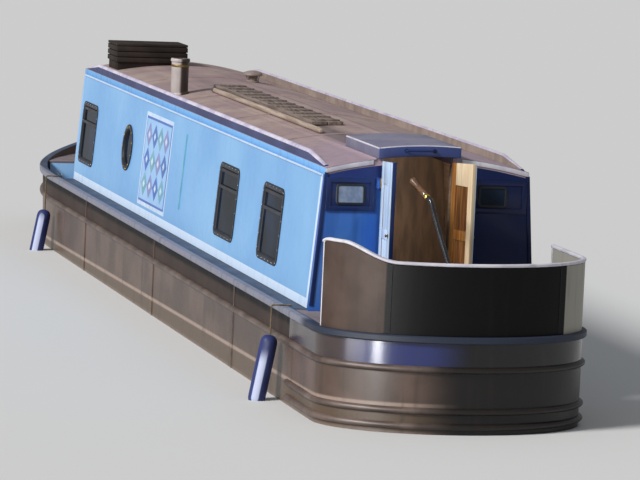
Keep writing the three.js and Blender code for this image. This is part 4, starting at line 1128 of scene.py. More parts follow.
for side, sign in sides.items():
    for number in (1, 2, 3, 4):
        window(side, sign, number)
print("8 windows framed")

# %% [markdown]
# ## A painted panel
#
# Boats of this kind carry painted panels on the cabin side. This one is a plain geometric
# design: a white border, and inside it rows of diamonds in teal, blue and violet on sky blue.
# Each colour is a thin layer of its own, a hair's breadth proud of the one under it, so it has
# the crisp edge that a sign painter masks.

# %% Panel of diamonds
panel_low, panel_high = (5.24, 0.10), (6.36, 0.92)
panel_finishes = [white_enamel, sky_plain, teal_enamel, royal_enamel, violet_enamel]
columns, rows = 4, 3


def side_patch(mesh, sign, outline, out, finish):
    """A thin flat shape on the cabin side, from (forward, up) points."""
    skin(mesh, [[on_side(sign, x, rise, z) for x, rise in outline] for z in (out - 0.0012, out)], finish)


def rectangle(low, high, inset):
    """Corners of a rectangle moved in by inset."""
    x0, y0, x1, y1 = low[0] + inset, low[1] + inset, high[0] - inset, high[1] - inset
    return [(x0, y0), (x1, y0), (x1, y1), (x0, y1)]


margin = 0.085
wide = (panel_high[0] - panel_low[0] - 2 * margin) / columns
tall = (panel_high[1] - panel_low[1] - 2 * margin) / rows
for side, sign in sides.items():
    mesh = bmesh.new()
    for inset, finish, out in ((0.0, 0, 0.0015), (0.035, 3, 0.0028), (0.055, 1, 0.0041)):
        side_patch(mesh, sign, rectangle(panel_low, panel_high, inset), out, finish)
    for column in range(columns):
        for row in range(rows):
            x = panel_low[0] + margin + wide * (column + 0.5)
            rise = panel_low[1] + margin + tall * (row + 0.5)
            for share, finish, out in ((0.49, 2 + (column + row) % 3, 0.0054), (0.17, 0, 0.0067)):
                dx, dz = wide * share, tall * share
                diamond = [(x + dx, rise), (x, rise + dz), (x - dx, rise), (x, rise - dz)]
                side_patch(mesh, sign, diamond, out, finish)
    piece("painted_panel_" + side, mesh, panel_finishes, "cabin_blue", angle=20)
print(columns * rows, "diamonds on each side")

# %% [markdown]
# ## Roof and handrails
#
# The roof is one curved sheet with sand in its paint, so walking on it is safe, and welds run
# across it where the sheets join. A flat bar stands along each edge as a handrail and comes down
# to the roof at its ends. Its outside is navy, its cap is lilac-white, and its inside is painted
# with the roof. The section of the rail is carried along the roof, and each of its faces has its
# own finish.

# %% Roof
roof_edge = gunwale + side_height
roof_camber = 0.1
roof_radius = (roof_half ** 2 + roof_camber ** 2) / (2 * roof_camber)


def roof_height(across):
    """Height of the curved roof at a place across the boat."""
    return roof_edge + roof_camber - roof_radius + math.sqrt(roof_radius ** 2 - across ** 2)


def roof_line(x, start, end, lift):
    """Points across the roof's curve, raised by lift."""
    places = [start + (end - start) * i / 24 for i in range(25)]
    return [at(x, y, roof_height(y) + lift) for y in places]


def seat(x, y, lift=0.0003):
    """A place on the roof for a fitting."""
    return at(x, y, roof_height(y) + lift)


def upright_on_roof(y):
    """The direction that stands square on the roof at a place across the boat."""
    tilt = math.asin(y / roof_radius)
    return 0, math.sin(tilt), math.cos(tilt)


refined("roof", roof_oxide, "roof_paint", 0.0015, 40)
sheet_length = 1.83
joints = [0.02 + sheet_length * k for k in range(1, 5)]
lines = [roof_line(x, -roof_half + 0.05, roof_half - 0.05, 0.001) for x in joints]
bead("roof_welds", lines, roof_oxide, "roof_paint", 0.007, 0.8)

trim_mesh = bmesh.new()
entry_y = middle("slide_hatch")[1]
trim_section = [(-0.006, -0.036), (-0.006, -0.003), (-0.0005, -0.003), (-0.0005, -0.036)]
for start, end in ((-roof_half, entry_y - 0.34), (entry_y + 0.34, roof_half)):
    skin(trim_mesh, list(zip(*[roof_line(x, start, end, lift) for x, lift in trim_section])))
piece("roof_rear_edge", trim_mesh, [chalk_white], "rail_white", edge=0.001)

rail_height, rail_taper, clear = 0.078, 0.5, 0.0006
outer, inner = roof_half - 0.008, roof_half - 0.040
navy_face, cap_face, roof_face = range(3)
ring = [(outer, clear, navy_face), (outer - 0.003, rail_height - 0.020, cap_face)]
ring += [(outer - 0.002, rail_height - 0.012, cap_face), (outer - 0.006, rail_height - 0.003, cap_face)]
ring += [(outer - 0.016, rail_height, cap_face), (inner + 0.006, rail_height - 0.002, cap_face)]
ring += [(inner, rail_height - 0.006, cap_face), (inner, rail_height - 0.018, roof_face)]
ring += [(inner, clear, navy_face)]
for side, sign in sides.items():
    start, end = along("handrail_" + side)
    mesh = bmesh.new()
    outlines = []
    for x in (start, start + rail_taper, end - rail_taper, end):
        drop = rail_height - 0.012 if x in (start, end) else 0.0
        outlines.append([seat(x, sign * y, max(rise - drop, clear + 0.1 * rise)) for y, rise, _ in ring])
    skin(mesh, outlines, [finish for _, _, finish in ring])
    bar = [rail_navy, rail_cap, vent_paint]
    piece("handrail_bar_" + side, mesh, bar, "navy_paint", "handrail_" + side)
print("handrails", round(end - start, 2), "m long")

# %% [markdown]
# ## Vent, chimney and lamp
#
# These are turned pieces: the mushroom vent is a spun cap over a short neck, the chimney is
# a steel tube with one brass band round it, and the headlamp is a spun bowl in black enamel with a
# brass rim and a lens in front. Each is a profile of radius and height, turned with 40 facets or so.

# %% Vent
x, y = middle("roof_vent")
vent_mesh = bmesh.new()
foot = [(0, 0.002), (0.0615, 0.002), (0.0615, 0.010), (0.056, 0.014), (0.041, 0.018), (0.039, 0.060)]
cap = [(0, 0.058), (0.074, 0.058), (0.086, 0.062), (0.088, 0.068), (0.084, 0.080), (0.070, 0.092)]
cap += [(0.050, 0.100), (0.028, 0.104), (0.012, 0.1055), (0, 0.106)]
turn(vent_mesh, [*foot, (0, 0.060)], seat(x, y, -0.001), upright_on_roof(y))
turn(vent_mesh, cap, seat(x, y, -0.001))
for k in range(6):
    out = Vector((math.cos(math.pi * k / 3), math.sin(math.pi * k / 3), 0))
    tube(vent_mesh, [seat(x, y, 0.012) + out * 0.052, seat(x, y, 0.060) + out * 0.062], 0.004, 8)
piece("mushroom_vent", vent_mesh, [vent_paint], "roof_paint", "roof_vent")
print("vent with 6 legs")

# %% Chimney
x, y = middle("chimney")
chimney_mesh = bmesh.new()
collar = [(0, -0.004), (0.091, -0.004), (0.091, 0.010), (0.086, 0.014), (0.080, 0.024), (0, 0.024)]
turn(chimney_mesh, collar, seat(x, y), upright_on_roof(y))
flue = [(0.0, 0.006), (0.076, 0.006), (0.076, 0.286), (0.081, 0.289), (0.084, 0.293), (0.084, 0.312)]
flue += [(0.081, 0.3175), (0.070, 0.3175), (0.066, 0.314), (0.062, 0.306), (0.062, 0.18), (0, 0.18)]
foot = seat(x, y, 0)
turn(chimney_mesh, flue, foot, facets=48)
band_section = [(0.070, 0.245), (0.0775, 0.245), (0.0792, 0.248), (0.0792, 0.262)]
band_section += [(0.0775, 0.265), (0.070, 0.265)]
turns = [2 * math.pi * k / 48 for k in range(48)]
rings = [[foot + Vector((r * math.cos(a), r * math.sin(a), z)) for r, z in band_section] for a in turns]
skin(chimney_mesh, rings, 1, looped=True)
piece("banded_chimney", chimney_mesh, [cream_enamel, dull_brass], "cream_paint", "chimney")
print("chimney", flue[7][1], "m tall")

# %% Headlamp
low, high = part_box("head_lamp")
lamp_centre = Vector((low.x, 0, high.z - 0.063))
lamp_axis = (1, 0, 0)
lamp_mesh = bmesh.new()
bowl = [(0, 0.0), (0.021, 0.001), (0.038, 0.007), (0.049, 0.020), (0.057, 0.043), (0.060, 0.065)]
rim = [(0.060, 0.080), (0.063, 0.083), (0.063, 0.091), (0.060, 0.094), (0.055, 0.094)]
rim += [(0.053, 0.088), (0, 0.088)]
lens = [(0, 0.0885), (0.0525, 0.0885), (0.052, 0.091), (0.041, 0.094), (0.021, 0.0962), (0, 0.0967)]
turn(lamp_mesh, [*bowl, (0.060, 0.071), (0, 0.071)], lamp_centre, lamp_axis, finish=2)
turn(lamp_mesh, [(0, 0.070), bowl[-1], *rim], lamp_centre, lamp_axis)
turn(lamp_mesh, lens, lamp_centre, lamp_axis, finish=1)
stalk_x = low.x - bulkhead_x + 0.040
crown = roof_height(0) + clear
for half_x, half_y, tall in ((0.017, 0.012, 0.040), (0.0195, 0.0148, 0.007)):
    block(lamp_mesh, (stalk_x - half_x, -half_y, crown), (stalk_x + half_x, half_y, crown + tall))
piece("brass_headlamp", lamp_mesh, [brass, lens_glass, neck_enamel], "brass", "head_lamp", angle=35)
print("headlamp", round(high.x - low.x, 3), "m deep")

# %% [markdown]
# ## What lies on the roof
#
# A slatted box holds ropes and pegs, a gangplank has cleats nailed across it to stop feet from
# slipping, and a long pole lies beside it. Slats and cleats repeat at an even step, so a third
# Geometry Nodes tree lays a row of boards from a size, a count and a step. The rounding of their
# edges comes after, because only then are they one mesh.

# %% A row of boards
nowhere = (0.0, 0.0, 0.0)
boards, given = new_tree("row of boards", Count=4, Step=nowhere, Size=nowhere)
board = add(boards, "GeometryNodeMeshCube", {"Size": given["Size"]}, "Mesh")
row = {"Count": given["Count"], "Offset": given["Step"]}
steps_along = add(boards, "GeometryNodeMeshLine", row, mode="OFFSET")
one_row = add(boards, "GeometryNodeInstanceOnPoints", {"Points": steps_along, "Instance": board})
copies = add(boards, "GeometryNodeInstanceOnPoints", {"Points": given["Lines"], "Instance": one_row})
ended(boards, copies, given["Finish"])


def board_row(name, first, count, step, size, material, edge, slot):
    """A row of boards whose first middle is given, with rounded edges."""
    values = {"Count": count, "Step": Vector(step), "Size": Vector(size), "Finish": material}
    return fitted(finished(grown(name, [[first]], boards, values), [], edge, 32), slot)


# %% Roof box
low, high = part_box("roof_box")
box_x0, box_x1 = along("roof_box")
box_top, inset = high.z, 0.014
middle_x, middle_y = middle("roof_box")
across = [low.y + inset + (high.y - low.y - 2 * inset) * i / 12 for i in range(13)]
outline = [(y, roof_height(y) + 0.0008) for y in across]
outline += [(high.y - inset, box_top - 0.024), (low.y + inset, box_top - 0.024)]
box_mesh = bmesh.new()
skin(box_mesh, [[at(x, y, z) for y, z in outline] for x in (box_x0 + inset, box_x1 - inset)])
piece("roof_box_body", box_mesh, [box_stain], "black_paint", "roof_box", edge=0.002)
slat_count = 5
wide = high.y - low.y
step = (box_x1 - box_x0) / slat_count
lid_first = at(box_x0 + step / 2, middle_y, box_top - 0.012)
lid_slat = (step - 0.010, wide - 0.001, 0.023)
board_row("roof_box_lid", lid_first, slat_count, (step, 0, 0), lid_slat, box_stain, 0.003, "black_paint")
end_slat = (0.014, wide - 0.002, 0.044)
side_slat = (box_x1 - box_x0 - 0.03, 0.014, 0.044)
walls = {"rear": (box_x0 + 0.0075, middle_y, end_slat), "front": (box_x1 - 0.0075, middle_y, end_slat)}
walls["port"] = (middle_x, high.y - 0.0075, side_slat)
walls["starboard"] = (middle_x, low.y + 0.0075, side_slat)
for name, (x, y, slat) in walls.items():
    first = at(x, y, box_top - 0.050)
    board_row("roof_box_slats_" + name, first, 3, (0, 0, -0.052), slat, box_stain, 0.003, "black_paint")
print("roof box with", slat_count, "lid slats")

# %% Gangplank and pole
low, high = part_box("gangplank")
start, end = along("gangplank")
plank_y = middle("gangplank")[1]
plank_mesh = bmesh.new()
for y0, y1 in ((low.y, plank_y - 0.003), (plank_y + 0.003, high.y)):
    block(plank_mesh, (start, y0, low.z), (end, y1, high.z - 0.010))
piece("gangplank_boards", plank_mesh, [grey_oak], "plywood", "gangplank", edge=0.004)
step = 0.3
count = int((end - start - 0.2) / step) + 1
cleat = (0.04, high.y - low.y - 0.02, 0.010)
first = at(start + 0.1, plank_y, high.z - 0.005)
board_row("gangplank_cleats", first, count, (step, 0, 0), cleat, grey_oak, 0.002, "plywood")

low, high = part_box("boat_pole")
start, end = along("boat_pole")
length = end - start
pole_y = middle("boat_pole")[1]
pole_mesh = bmesh.new()
shaft = [(0, 0.0), (0.012, 0.002), (0.019, 0.02), (0.0215, 0.10), (0.0215, length - 0.5)]
shaft += [(0.019, length - 0.1), (0, length - 0.08)]
turn(pole_mesh, shaft, at(start, pole_y, low.z + 0.0215), (1, 0, 0), 24)
shoe = [(0, length - 0.115), (0.0215, length - 0.115), (0.022, length - 0.11), (0.022, length - 0.07)]
shoe += [(0.015, length - 0.025), (0, length - 0.001)]
turn(pole_mesh, shoe, at(start, pole_y, (low.z + high.z) / 2), (1, 0, 0), 24, finish=1)
piece("boat_pole_with_shoe", pole_mesh, [weathered_pole, oiled_steel], "varnished_wood", "boat_pole")
print("plank with", count, "cleats, pole", round(length, 2), "m")

# %% [markdown]
# ## Slide hatch
#
# The hatch is a curved plate with a skirt on three sides, and it slides forward over the roof.
# Its top has faded like the roof, and its rear face, which the sun seldom reaches, is still blue.
# It gets a navy grab rail on that face and a white bead along its rear and port edges.

# %% Slide hatch
refined("slide_hatch", hatch_enamel, "navy_paint", 0.004, 40)
low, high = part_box("slide_hatch")
start, end = along("slide_hatch")
hatch_rise = 0.090
rear_edge = roof_line(start + 0.006, low.y + 0.006, high.y - 0.006, hatch_rise - 0.005)
edge_z = roof_height(high.y) + hatch_rise - 0.006
side_edge = [at(x, high.y - 0.004, edge_z) for x in (start + 0.006, end - 0.01)]
trims = [rear_edge, side_edge]
bead("hatch_beads", trims, chalk_white, "rail_white", 0.0065, step=0.05, body="slide_hatch")
grab_mesh = bmesh.new()
grab_z = roof_height(entry_y) + 0.05
grab = [(0.002, -0.11), (-0.016, -0.11), (-0.022, -0.10), (-0.022, 0.10), (-0.016, 0.11), (0.002, 0.11)]
tube(grab_mesh, [at(start + x, entry_y + y, grab_z) for x, y in grab], 0.0065, 12)
rose = [(0, 0.0), (0.016, 0.0), (0.014, 0.004), (0, 0.005)]
for y in (-0.11, 0.11):
    turn(grab_mesh, rose, at(start + 0.001, entry_y + y, grab_z), (-1, 0, 0), 20)
piece("hatch_grab_rail", grab_mesh, [navy_enamel], "navy_paint", angle=40, body="slide_hatch")
print("hatch opens by 0.7 m over", round(end - start, 2), "m of roof")

# %% [markdown]
# ## Rear bulkhead
#
# The rear wall of the cabin is royal blue, with a darker band painted under the roof as shade.
# On both sides of the doorway a framed panel holds a small window. The side towards starboard is
# painted dark navy as the shade that the open door casts.


# %% Rear bulkhead
half_wide, half_tall, round_corner, window_z = 0.112, 0.079, 0.03, 2.075


def small_window(name, middle_y, pane):
    """A framed pane on the rear bulkhead."""
    def loop(shrink, out):
        outline = round_rectangle(half_wide, half_tall, round_corner, shrink)
        return [at(-out, middle_y + y, window_z + z) for y, z in outline]

    flange = [(0.0, 0.0042), (0.0, 0.011), (0.004, 0.0135), (0.014, 0.0135), (0.018, 0.010), (0.018, 0.0042)]
    mesh = bmesh.new()
    carried(mesh, flange, loop)
    skin(mesh, [loop(0.016, 0.009), loop(0.016, 0.0045)], 1)
    piece(name, mesh, [frame_enamel, pane], "window_glass", angle=40)


refined("rear_bulkhead", royal_enamel, "bulkhead_blue", 0.0025)
panes = {"port": curtained_glass, "starboard": window_glass}
z0, z1 = 1.950, 2.200
for side, sign in sides.items():
    inner_y, outer_y = entry_y + sign * 0.32, sign * 0.775
    y0, y1 = sorted((inner_y, outer_y))
    mesh = bmesh.new()
    rings = []
    for inset, out in ((0.0, 0.0004), (0.0, 0.011), (0.038, 0.011), (0.038, 0.0004)):
        rings.append([at(-out, y, z) for y, z in rectangle((y0, z0), (y1, z1), inset)])
    skin(mesh, list(zip(*rings)), looped=True)
    block(mesh, (-0.004, y0 + 0.03, z0 + 0.03), (-0.0004, y1 - 0.03, z1 - 0.03))
    piece("bulkhead_panel_" + side, mesh, [navy_enamel], "bulkhead_blue", edge=0.003)
    small_window("bulkhead_light_" + side, (inner_y + outer_y) / 2, panes[side])

    mesh = bmesh.new()
    corner_section = ((0, 0.0004), (0, 0.006), (0.030, 0.006), (0.030, 0.0004))
    ends = ((foot_half - 0.004, gunwale + 0.03), (roof_half + 0.006, 2.235))
    skin(mesh, [[at(-out, sign * (y - inset), z) for inset, out in corner_section] for y, z in ends])
    piece("bulkhead_corner_" + side, mesh, [navy_enamel], "navy_paint", edge=0.0015)

mesh = bmesh.new()
sill_z = gunwale + 0.06
way_half = 0.27
way_low, way_high = entry_y - way_half + 0.0005, entry_y + way_half - 0.0005
for y0, y1 in ((way_low, way_low + 0.0105), (way_high - 0.0105, way_high)):
    block(mesh, (0.001, y0, sill_z + 0.0005), (0.049, y1, 2.30))
block(mesh, (0.0005, way_low, sill_z + 0.0003), (0.0495, way_high, sill_z + 0.012))
piece("doorway_lining", mesh, [lining], "varnished_wood", edge=0.002)
print("doorway", round(2 * way_half, 2), "m wide")

# %% [markdown]
# ## Doors
#
# A cabin door is two skins on one frame: painted outside, varnished inside. Stiles stand at both
# edges, three rails lie between them, and thin boards fill the two fields. Each leaf is built
# in its own directions: in from the outer face, across from the hinge, and up. The hinge pin is
# at the start of both, so the leaf is where the frame has it. The ironmongery is weathered brass.

# %% Door leaves
door_thickness = 0.035
# The free stile and top rail of each leaf's inner skin take painted light and shade: pale pine as sunlight to
# starboard, navy as shade to port
edge_light_and_shade = {"port": navy_enamel, "starboard": sunlit_pine}
knuckle = [(0, 0.0), (0.008, 0.0), (0.009, 0.001), (0.009, 0.022), (0.008, 0.023), (0, 0.023)]
tip = [(0, 0.0), (0.006, 0.0), (0.007, 0.002), (0.004, 0.005), (0, 0.006)]
knob = [(0, 0.0), (0.015, 0.0), (0.015, 0.002), (0.006, 0.004), (0.005, 0.010), (0.011, 0.014)]
knob += [(0.012, 0.019), (0.008, 0.023), (0, 0.024)]


def door(end, face, out, middle_y, half, low, hinge_top, free_top, side, sign, angle):
    """One framed leaf with two fields of boards, its knuckles and its knob."""
    node = f"{end}_door_{side}"
    spin = Matrix.Rotation(math.radians(out * sign * angle), 3, "Z")
    pin = at(face + out * 0.040, middle_y + sign * half, 0)
    width = half - 0.003

    def leaf(depth, across, height):
        return pin + spin @ Vector((-out * depth, -sign * across, height))

    def board(mesh, depths, span, z0, z1, finish):
        """A board over a span across, cut off at the leaf's sloping top."""
        tops = [min(z1, hinge_top + (free_top - hinge_top) * across / width) for across in span]
        outline = [(span[0], z0), (span[1], z0), (span[1], tops[1]), (span[0], tops[0])]
        skin(mesh, [[leaf(depth, across, z) for across, z in outline] for depth in depths], finish)

    stile, rail = 0.058, 0.075
    foot_top, field_top = low + 0.11, hinge_top - (0.16 if end == "rear" else rail)
    lock_rail = low + 0.46 * (hinge_top - low)
    lock_top, no_limit = lock_rail + rail, 9
    between = (stile - 0.001, width - stile + 0.001)
    mesh = bmesh.new()
    for depths, finish in (((0.0, 0.006), 0), ((0.0058, door_thickness), 1)):
        board(mesh, depths, (0.0, stile), low, no_limit, finish)
        board(mesh, depths, (width - stile, width), low, no_limit, 2 * finish)
        board(mesh, depths, between, low, foot_top, finish)
        board(mesh, depths, between, lock_rail, lock_top, finish)
        board(mesh, depths, between, field_top, no_limit, 2 * finish)
    finishes = [white_enamel, varnished_pine, edge_light_and_shade[side]]
    piece(node + "_frame", mesh, finishes, "varnished_wood", node, edge=0.002)

    mesh = bmesh.new()
    board_width = (width - 2 * stile) / 3
    for z0, z1 in ((foot_top - 0.004, lock_rail + 0.004), (lock_top - 0.004, field_top + 0.004)):
        for k in range(3):
            span = (stile + k * board_width + 0.001, stile + (k + 1) * board_width - 0.001)
            board(mesh, (0.008, 0.0178), span, z0, z1, 0)
            board(mesh, (0.0175, 0.027), span, z0, z1, 1)
    body = body_of_node[node]
    piece(node + "_boards", mesh, [white_enamel, pine_boards], "varnished_wood", edge=0.0015, body=body)

    mesh = bmesh.new()
    for z in (low + 0.13, hinge_top - 0.2):
        for k in range(3):
            turn(mesh, knuckle, pin + Vector((0, 0, z + k * 0.0235)), facets=20)
        turn(mesh, tip, pin + Vector((0, 0, z + 0.070)), facets=16)
    outward = leaf(-1, 0, 0) - leaf(0, 0, 0)
    turn(mesh, knob, leaf(0.0005, width - stile / 2, lock_rail + rail / 2), outward, 24)
    piece(node + "_ironmongery", mesh, [dull_brass], "brass", angle=40, body=body)


rear_open = {"port": 90, "starboard": 107}
rear = ("rear", 0.0, -1, entry_y, way_half + 0.015, gunwale + 0.075, 2.330, 2.346)
front = ("front", cabin_length, 1, 0.0, 0.322, 0.810, 2.130, 2.130)
for side, sign in sides.items():
    door(*rear, side, sign, rear_open[side])
    door(*front, side, sign, 0)
refined("front_bulkhead", sky_plain, "cabin_blue", 0.0025)
for node in ("partition_rear", "partition_front"):
    refined(node, dark_ply, "plywood", 0.002)
print("4 door leaves")

# %% [markdown]
# ## Tiller
#
# A bent steel bar, the swan neck, stands on the rudder's stock and brings the tiller up to hand
# height. It is swept along a smooth line through the bends, and its ash grip is turned and held
# by a brass ferrule. All of it turns with the rudder about the stock.


# %% Swan neck and tiller
def smooth_line(points):
    """A smooth line through points, slowed in proportion to the root of each span's length."""
    ends = [2 * points[0] - points[1], *points, 2 * points[-1] - points[-2]]
    line = []
    for p0, p1, p2, p3 in zip(ends, ends[1:], ends[2:], ends[3:]):
        t0, t1, t2 = ((b - a).length ** 0.5 for a, b in ((p0, p1), (p1, p2), (p2, p3)))
        leave = ((p1 - p0) / t0 - (p2 - p0) / (t0 + t1) + (p2 - p1) / t1) * t1
        arrive = ((p2 - p1) / t1 - (p3 - p1) / (t1 + t2) + (p3 - p2) / t2) * t1
        for t in (i / 8 for i in range(8)):
            bend = (3 * (p2 - p1) - 2 * leave - arrive) * t ** 2
            line.append(p1 + leave * t + bend + (2 * (p1 - p2) + leave + arrive) * t ** 3)
    return line + [points[-1]]


stock_x, stock_top = -0.95, 1.328
neck_end, neck_end_z = 0.400, 2.118
grip_length = 0.225
tiller_angle = Matrix.Rotation(math.radians(23), 3, "Z")
grip_tilt = math.radians(30)


def on_tiller(forward, height):
    """A place in the tiller's own plane: forward of the stock and up."""
    return at(stock_x, 0, 0) + tiller_angle @ Vector((forward, 0, height))


bends = [(0, stock_top), (0, stock_top + 0.07), (0.035, stock_top + 0.175), (0.13, stock_top + 0.345)]
bends += [(0.23, stock_top + 0.52), (0.31, stock_top + 0.665), (neck_end - 0.035, neck_end_z - 0.02)]
bends += [(neck_end, neck_end_z)]
mesh = bmesh.new()
tube(mesh, smooth_line([on_tiller(*bend) for bend in bends]), 0.019, 20)
collar = [(0, 0.0), (0.030, 0.0), (0.032, 0.002), (0.032, 0.108), (0.029, 0.110), (0.021, 0.112), (0, 0.113)]
turn(mesh, collar, on_tiller(0, stock_top - 0.0695), facets=32)
bolt = [(0, 0.0), (0.010, 0.0), (0.010, 0.006), (0.008, 0.008), (0, 0.008)]
for way in (1, -1):
    start = on_tiller(way * 0.030, stock_top - 0.02)
    turn(mesh, bolt, start, tiller_angle @ Vector((way, 0, 0)), 6, finish=1)
piece("swan_neck_bar", mesh, [neck_enamel, oiled_steel], "navy_paint", "swan_neck", angle=40)

mesh = bmesh.new()
grip_axis = tiller_angle @ Vector((math.cos(grip_tilt), 0, math.sin(grip_tilt)))
grip_start = on_tiller(neck_end, neck_end_z) + 0.0005 * grip_axis
ferrule = [(0, 0.0), (0.0205, 0.0), (0.0225, 0.003), (0.0225, 0.030), (0.0205, 0.033), (0, 0.033)]
grip = [(0, 0.03), (0.0205, 0.031), (0.0226, 0.040), (0.0238, 0.052), (0.0236, 0.070), (0.0212, 0.098)]
grip += [(0.0192, 0.120), (0.0192, 0.138), (0.0212, 0.160), (0.0236, 0.184), (0.0262, 0.202), (0.0270, 0.212)]
grip += [(0.0255, 0.2205), (0.018, 0.2240), (0, grip_length)]
turn(mesh, ferrule, grip_start, grip_axis, 32, finish=1)
turn(mesh, grip, grip_start, grip_axis, 32)
piece("turned_tiller_grip", mesh, [turned_ash, brass], "varnished_wood", "tiller_bar", angle=40)
print("tiller reaches", round(neck_end + grip_length * math.cos(grip_tilt), 2), "m forward of the stock")

# %% [markdown]
# ## Rudder, skeg and propeller
#
# These stay under water. They keep the frame's shapes, with their edges ground round as a
# welder leaves them.

# %% Under water
for node in ("rudder", "skeg"):
    refined(node, blacking, "hull_blacking", 0.004)
refined("propeller", bronze, "bronze", 0.003, 40)
for node in ("base_plate", "swim", "uxter_plate"):
    refined(node, blacking, "hull_blacking", 0.002)
refined("engine_bed", oiled_steel, "steel", 0.004)

# %% [markdown]
# ## Fenders
#
# The side fenders are moulded PVC tubes with round ends, each on a manila lanyard that passes
# over the gunwale. Their feet float and stand a little off the hull. Manila has three strands
# that wind about each other, so a lanyard is three windings round one line. The bow fender is
# rope work: twelve strands wind round it each way, and each passes over and under the ones it
# meets by moving in and out as it goes.


# %% Side fenders
def laid_rope(line, radius, lay=0.045):
    """Three strands wound round a line: their middles as three lines of points."""
    dense = [line[0]]
    for first, second in zip(line, line[1:]):
        count = max(2, round((second - first).length / 0.004))
        dense += [first.lerp(second, i / count) for i in range(1, count + 1)]
    strands = [[], [], []]
    walked = 0.0
    for i, point in enumerate(dense):
        ahead_of = (dense[min(i + 1, len(dense) - 1)] - dense[max(i - 1, 0)]).normalized()
        side = ahead_of.cross(Vector((1, 0, 0))).normalized()
        other = ahead_of.cross(side)
        walked += (point - dense[i - 1]).length if i else 0.0
        for k in range(3):
            angle = 2 * math.pi * (walked / lay + k / 3)
            strands[k].append(point + radius * 0.5 * (math.cos(angle) * side + math.sin(angle) * other))
    return strands


fender_radius, fender_length, rope_radius = 0.065, 0.54, 0.007
fender_lean = math.radians(10)
profile = [(0, 0.012), (0.010, 0.002), (0.030, 0.004), (0.046, 0.014), (0.058, 0.030), (0.0635, 0.050)]
profile += [(0.065, 0.070), (0.0654, 0.160), (0.0656, 0.270), (0.0654, 0.380), (0.065, 0.470)]
profile += [(0.0635, 0.490), (0.058, 0.510), (0.046, 0.526), (0.030, 0.536), (0.012, 0.539), (0, 0.5395)]
for where, top in (("rear", 0.990), ("front", 0.890)):
    for side, sign in sides.items():
        node = f"fender_{where}_{side}"
        low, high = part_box(node)
        hung = Vector(((low.x + high.x) / 2, sign * (half_beam + reach + fender_radius), top))
        axis = Vector((0, -sign * math.sin(fender_lean), math.cos(fender_lean)))
        mesh = bmesh.new()
        turn(mesh, profile, hung - fender_length * axis, axis, 48)
        piece(node + "_moulded", mesh, [fender_vinyl], "fender_rubber", node, angle=40)
        rope_z = high.z - rope_radius
        inboard = (low.y if sign > 0 else high.y) + sign * 0.002
        turns = ((0, top - 0.008), (0, rope_z - 0.012), (0.004, rope_z - 0.003), (0.012, rope_z))
        line = [Vector((hung.x, hung.y - sign * inward, z)) for inward, z in turns]
        line.append(Vector((hung.x, inboard, rope_z)))
        bead(node + "_lanyard", laid_rope(line, rope_radius), manila, "rope", 0.0037, 0.15, 0.006)
print("4 fenders,", round(2 * fender_radius, 2), "m thick")

# %% Bow fender
low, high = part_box("bow_fender")
radius = (high.y - low.y) / 2
foot = Vector((high.x - radius, 0, low.z))
tall = high.z - low.z
strand = 0.0072
windings, turns = 12, 1.1


def girth(share):
    """Half the bow fender's thickness at a share of its height: round at both ends."""
    end = min(share, 1 - share) * tall / 0.075
    return (radius - 2 * strand) * math.sqrt(max(1 - (1 - min(end, 1)) ** 2, 0.02))


lines = []
for hand in (1, -1):
    for k in range(windings):
        line = []
        for share in (i / 120 for i in range(121)):
            angle = 2 * math.pi * (k / windings + hand * share * turns)
            weave = hand * 0.35 * strand * math.cos(windings * 2 * math.pi * share * turns)
            out = girth(share) + 0.6 * strand + weave
            rim = Vector((out * math.cos(angle), out * math.sin(angle), strand))
            line.append(foot + rim + Vector((0, 0, share * (tall - 2 * strand))))
        lines.append(line)
bead("woven_bow_fender", lines, tarred_hemp, "rope", strand, 0.12, 0.012, node=["bow_fender"])
mesh = bmesh.new()
core = [(girth(i / 24), 0.004 + i / 24 * (tall - 0.008)) for i in range(25)]
turn(mesh, [(0, 0.002), *core, (0, tall - 0.002)], foot, facets=32)
bracket_x = low.x - bulkhead_x
block(mesh, (bracket_x, -0.0095, 1.082), (bracket_x + 0.08, 0.0095, 1.108), finish=1)
piece("bow_fender_core", mesh, [tarred_hemp, blacking], "rope", edge=0.001)
print(len(lines), "strands in the bow fender")

# %% [markdown]
# ## Decks at the bow
#
# The well deck lies low between the front doors and the foredeck, and the foredeck carries the
# mooring stud and the hinged lid of the gas locker. Both decks are sanded.

# %% Bow decks
refined("well_deck", deck_sand, "deck_paint", 0.002)
refined("well_front", sky_plain, "cabin_blue", 0.002)
refined("foredeck", deck_sand, "deck_paint", 0.003, 40)
refined("gas_locker_lid", gunwale_enamel, "deck_paint", 0.003, 40)
low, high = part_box("gas_locker_lid")
mesh = bmesh.new()
pull = [(-0.045, 0.0), (-0.042, 0.010), (-0.034, 0.015), (0.034, 0.015), (0.042, 0.010), (0.045, 0.0)]
tube(mesh, [Vector((high.x - 0.06, y, high.z + rise - 0.0005)) for y, rise in pull], 0.004, 10)
lid_body = body_of_node["gas_locker_lid"]
piece("gas_locker_pull", mesh, [stainless], "steel", angle=40, body=lid_body)

# %% [markdown]
# ## Inside the cabin
#
# What shows through the rear doorway is the top step over the engine, the boarded sides and the
# first partition, in the light of one lamp. The engine stands under the steps: block, sump,
# rocker cover, flywheel housing and gearbox, each with the rounded edges of a casting.

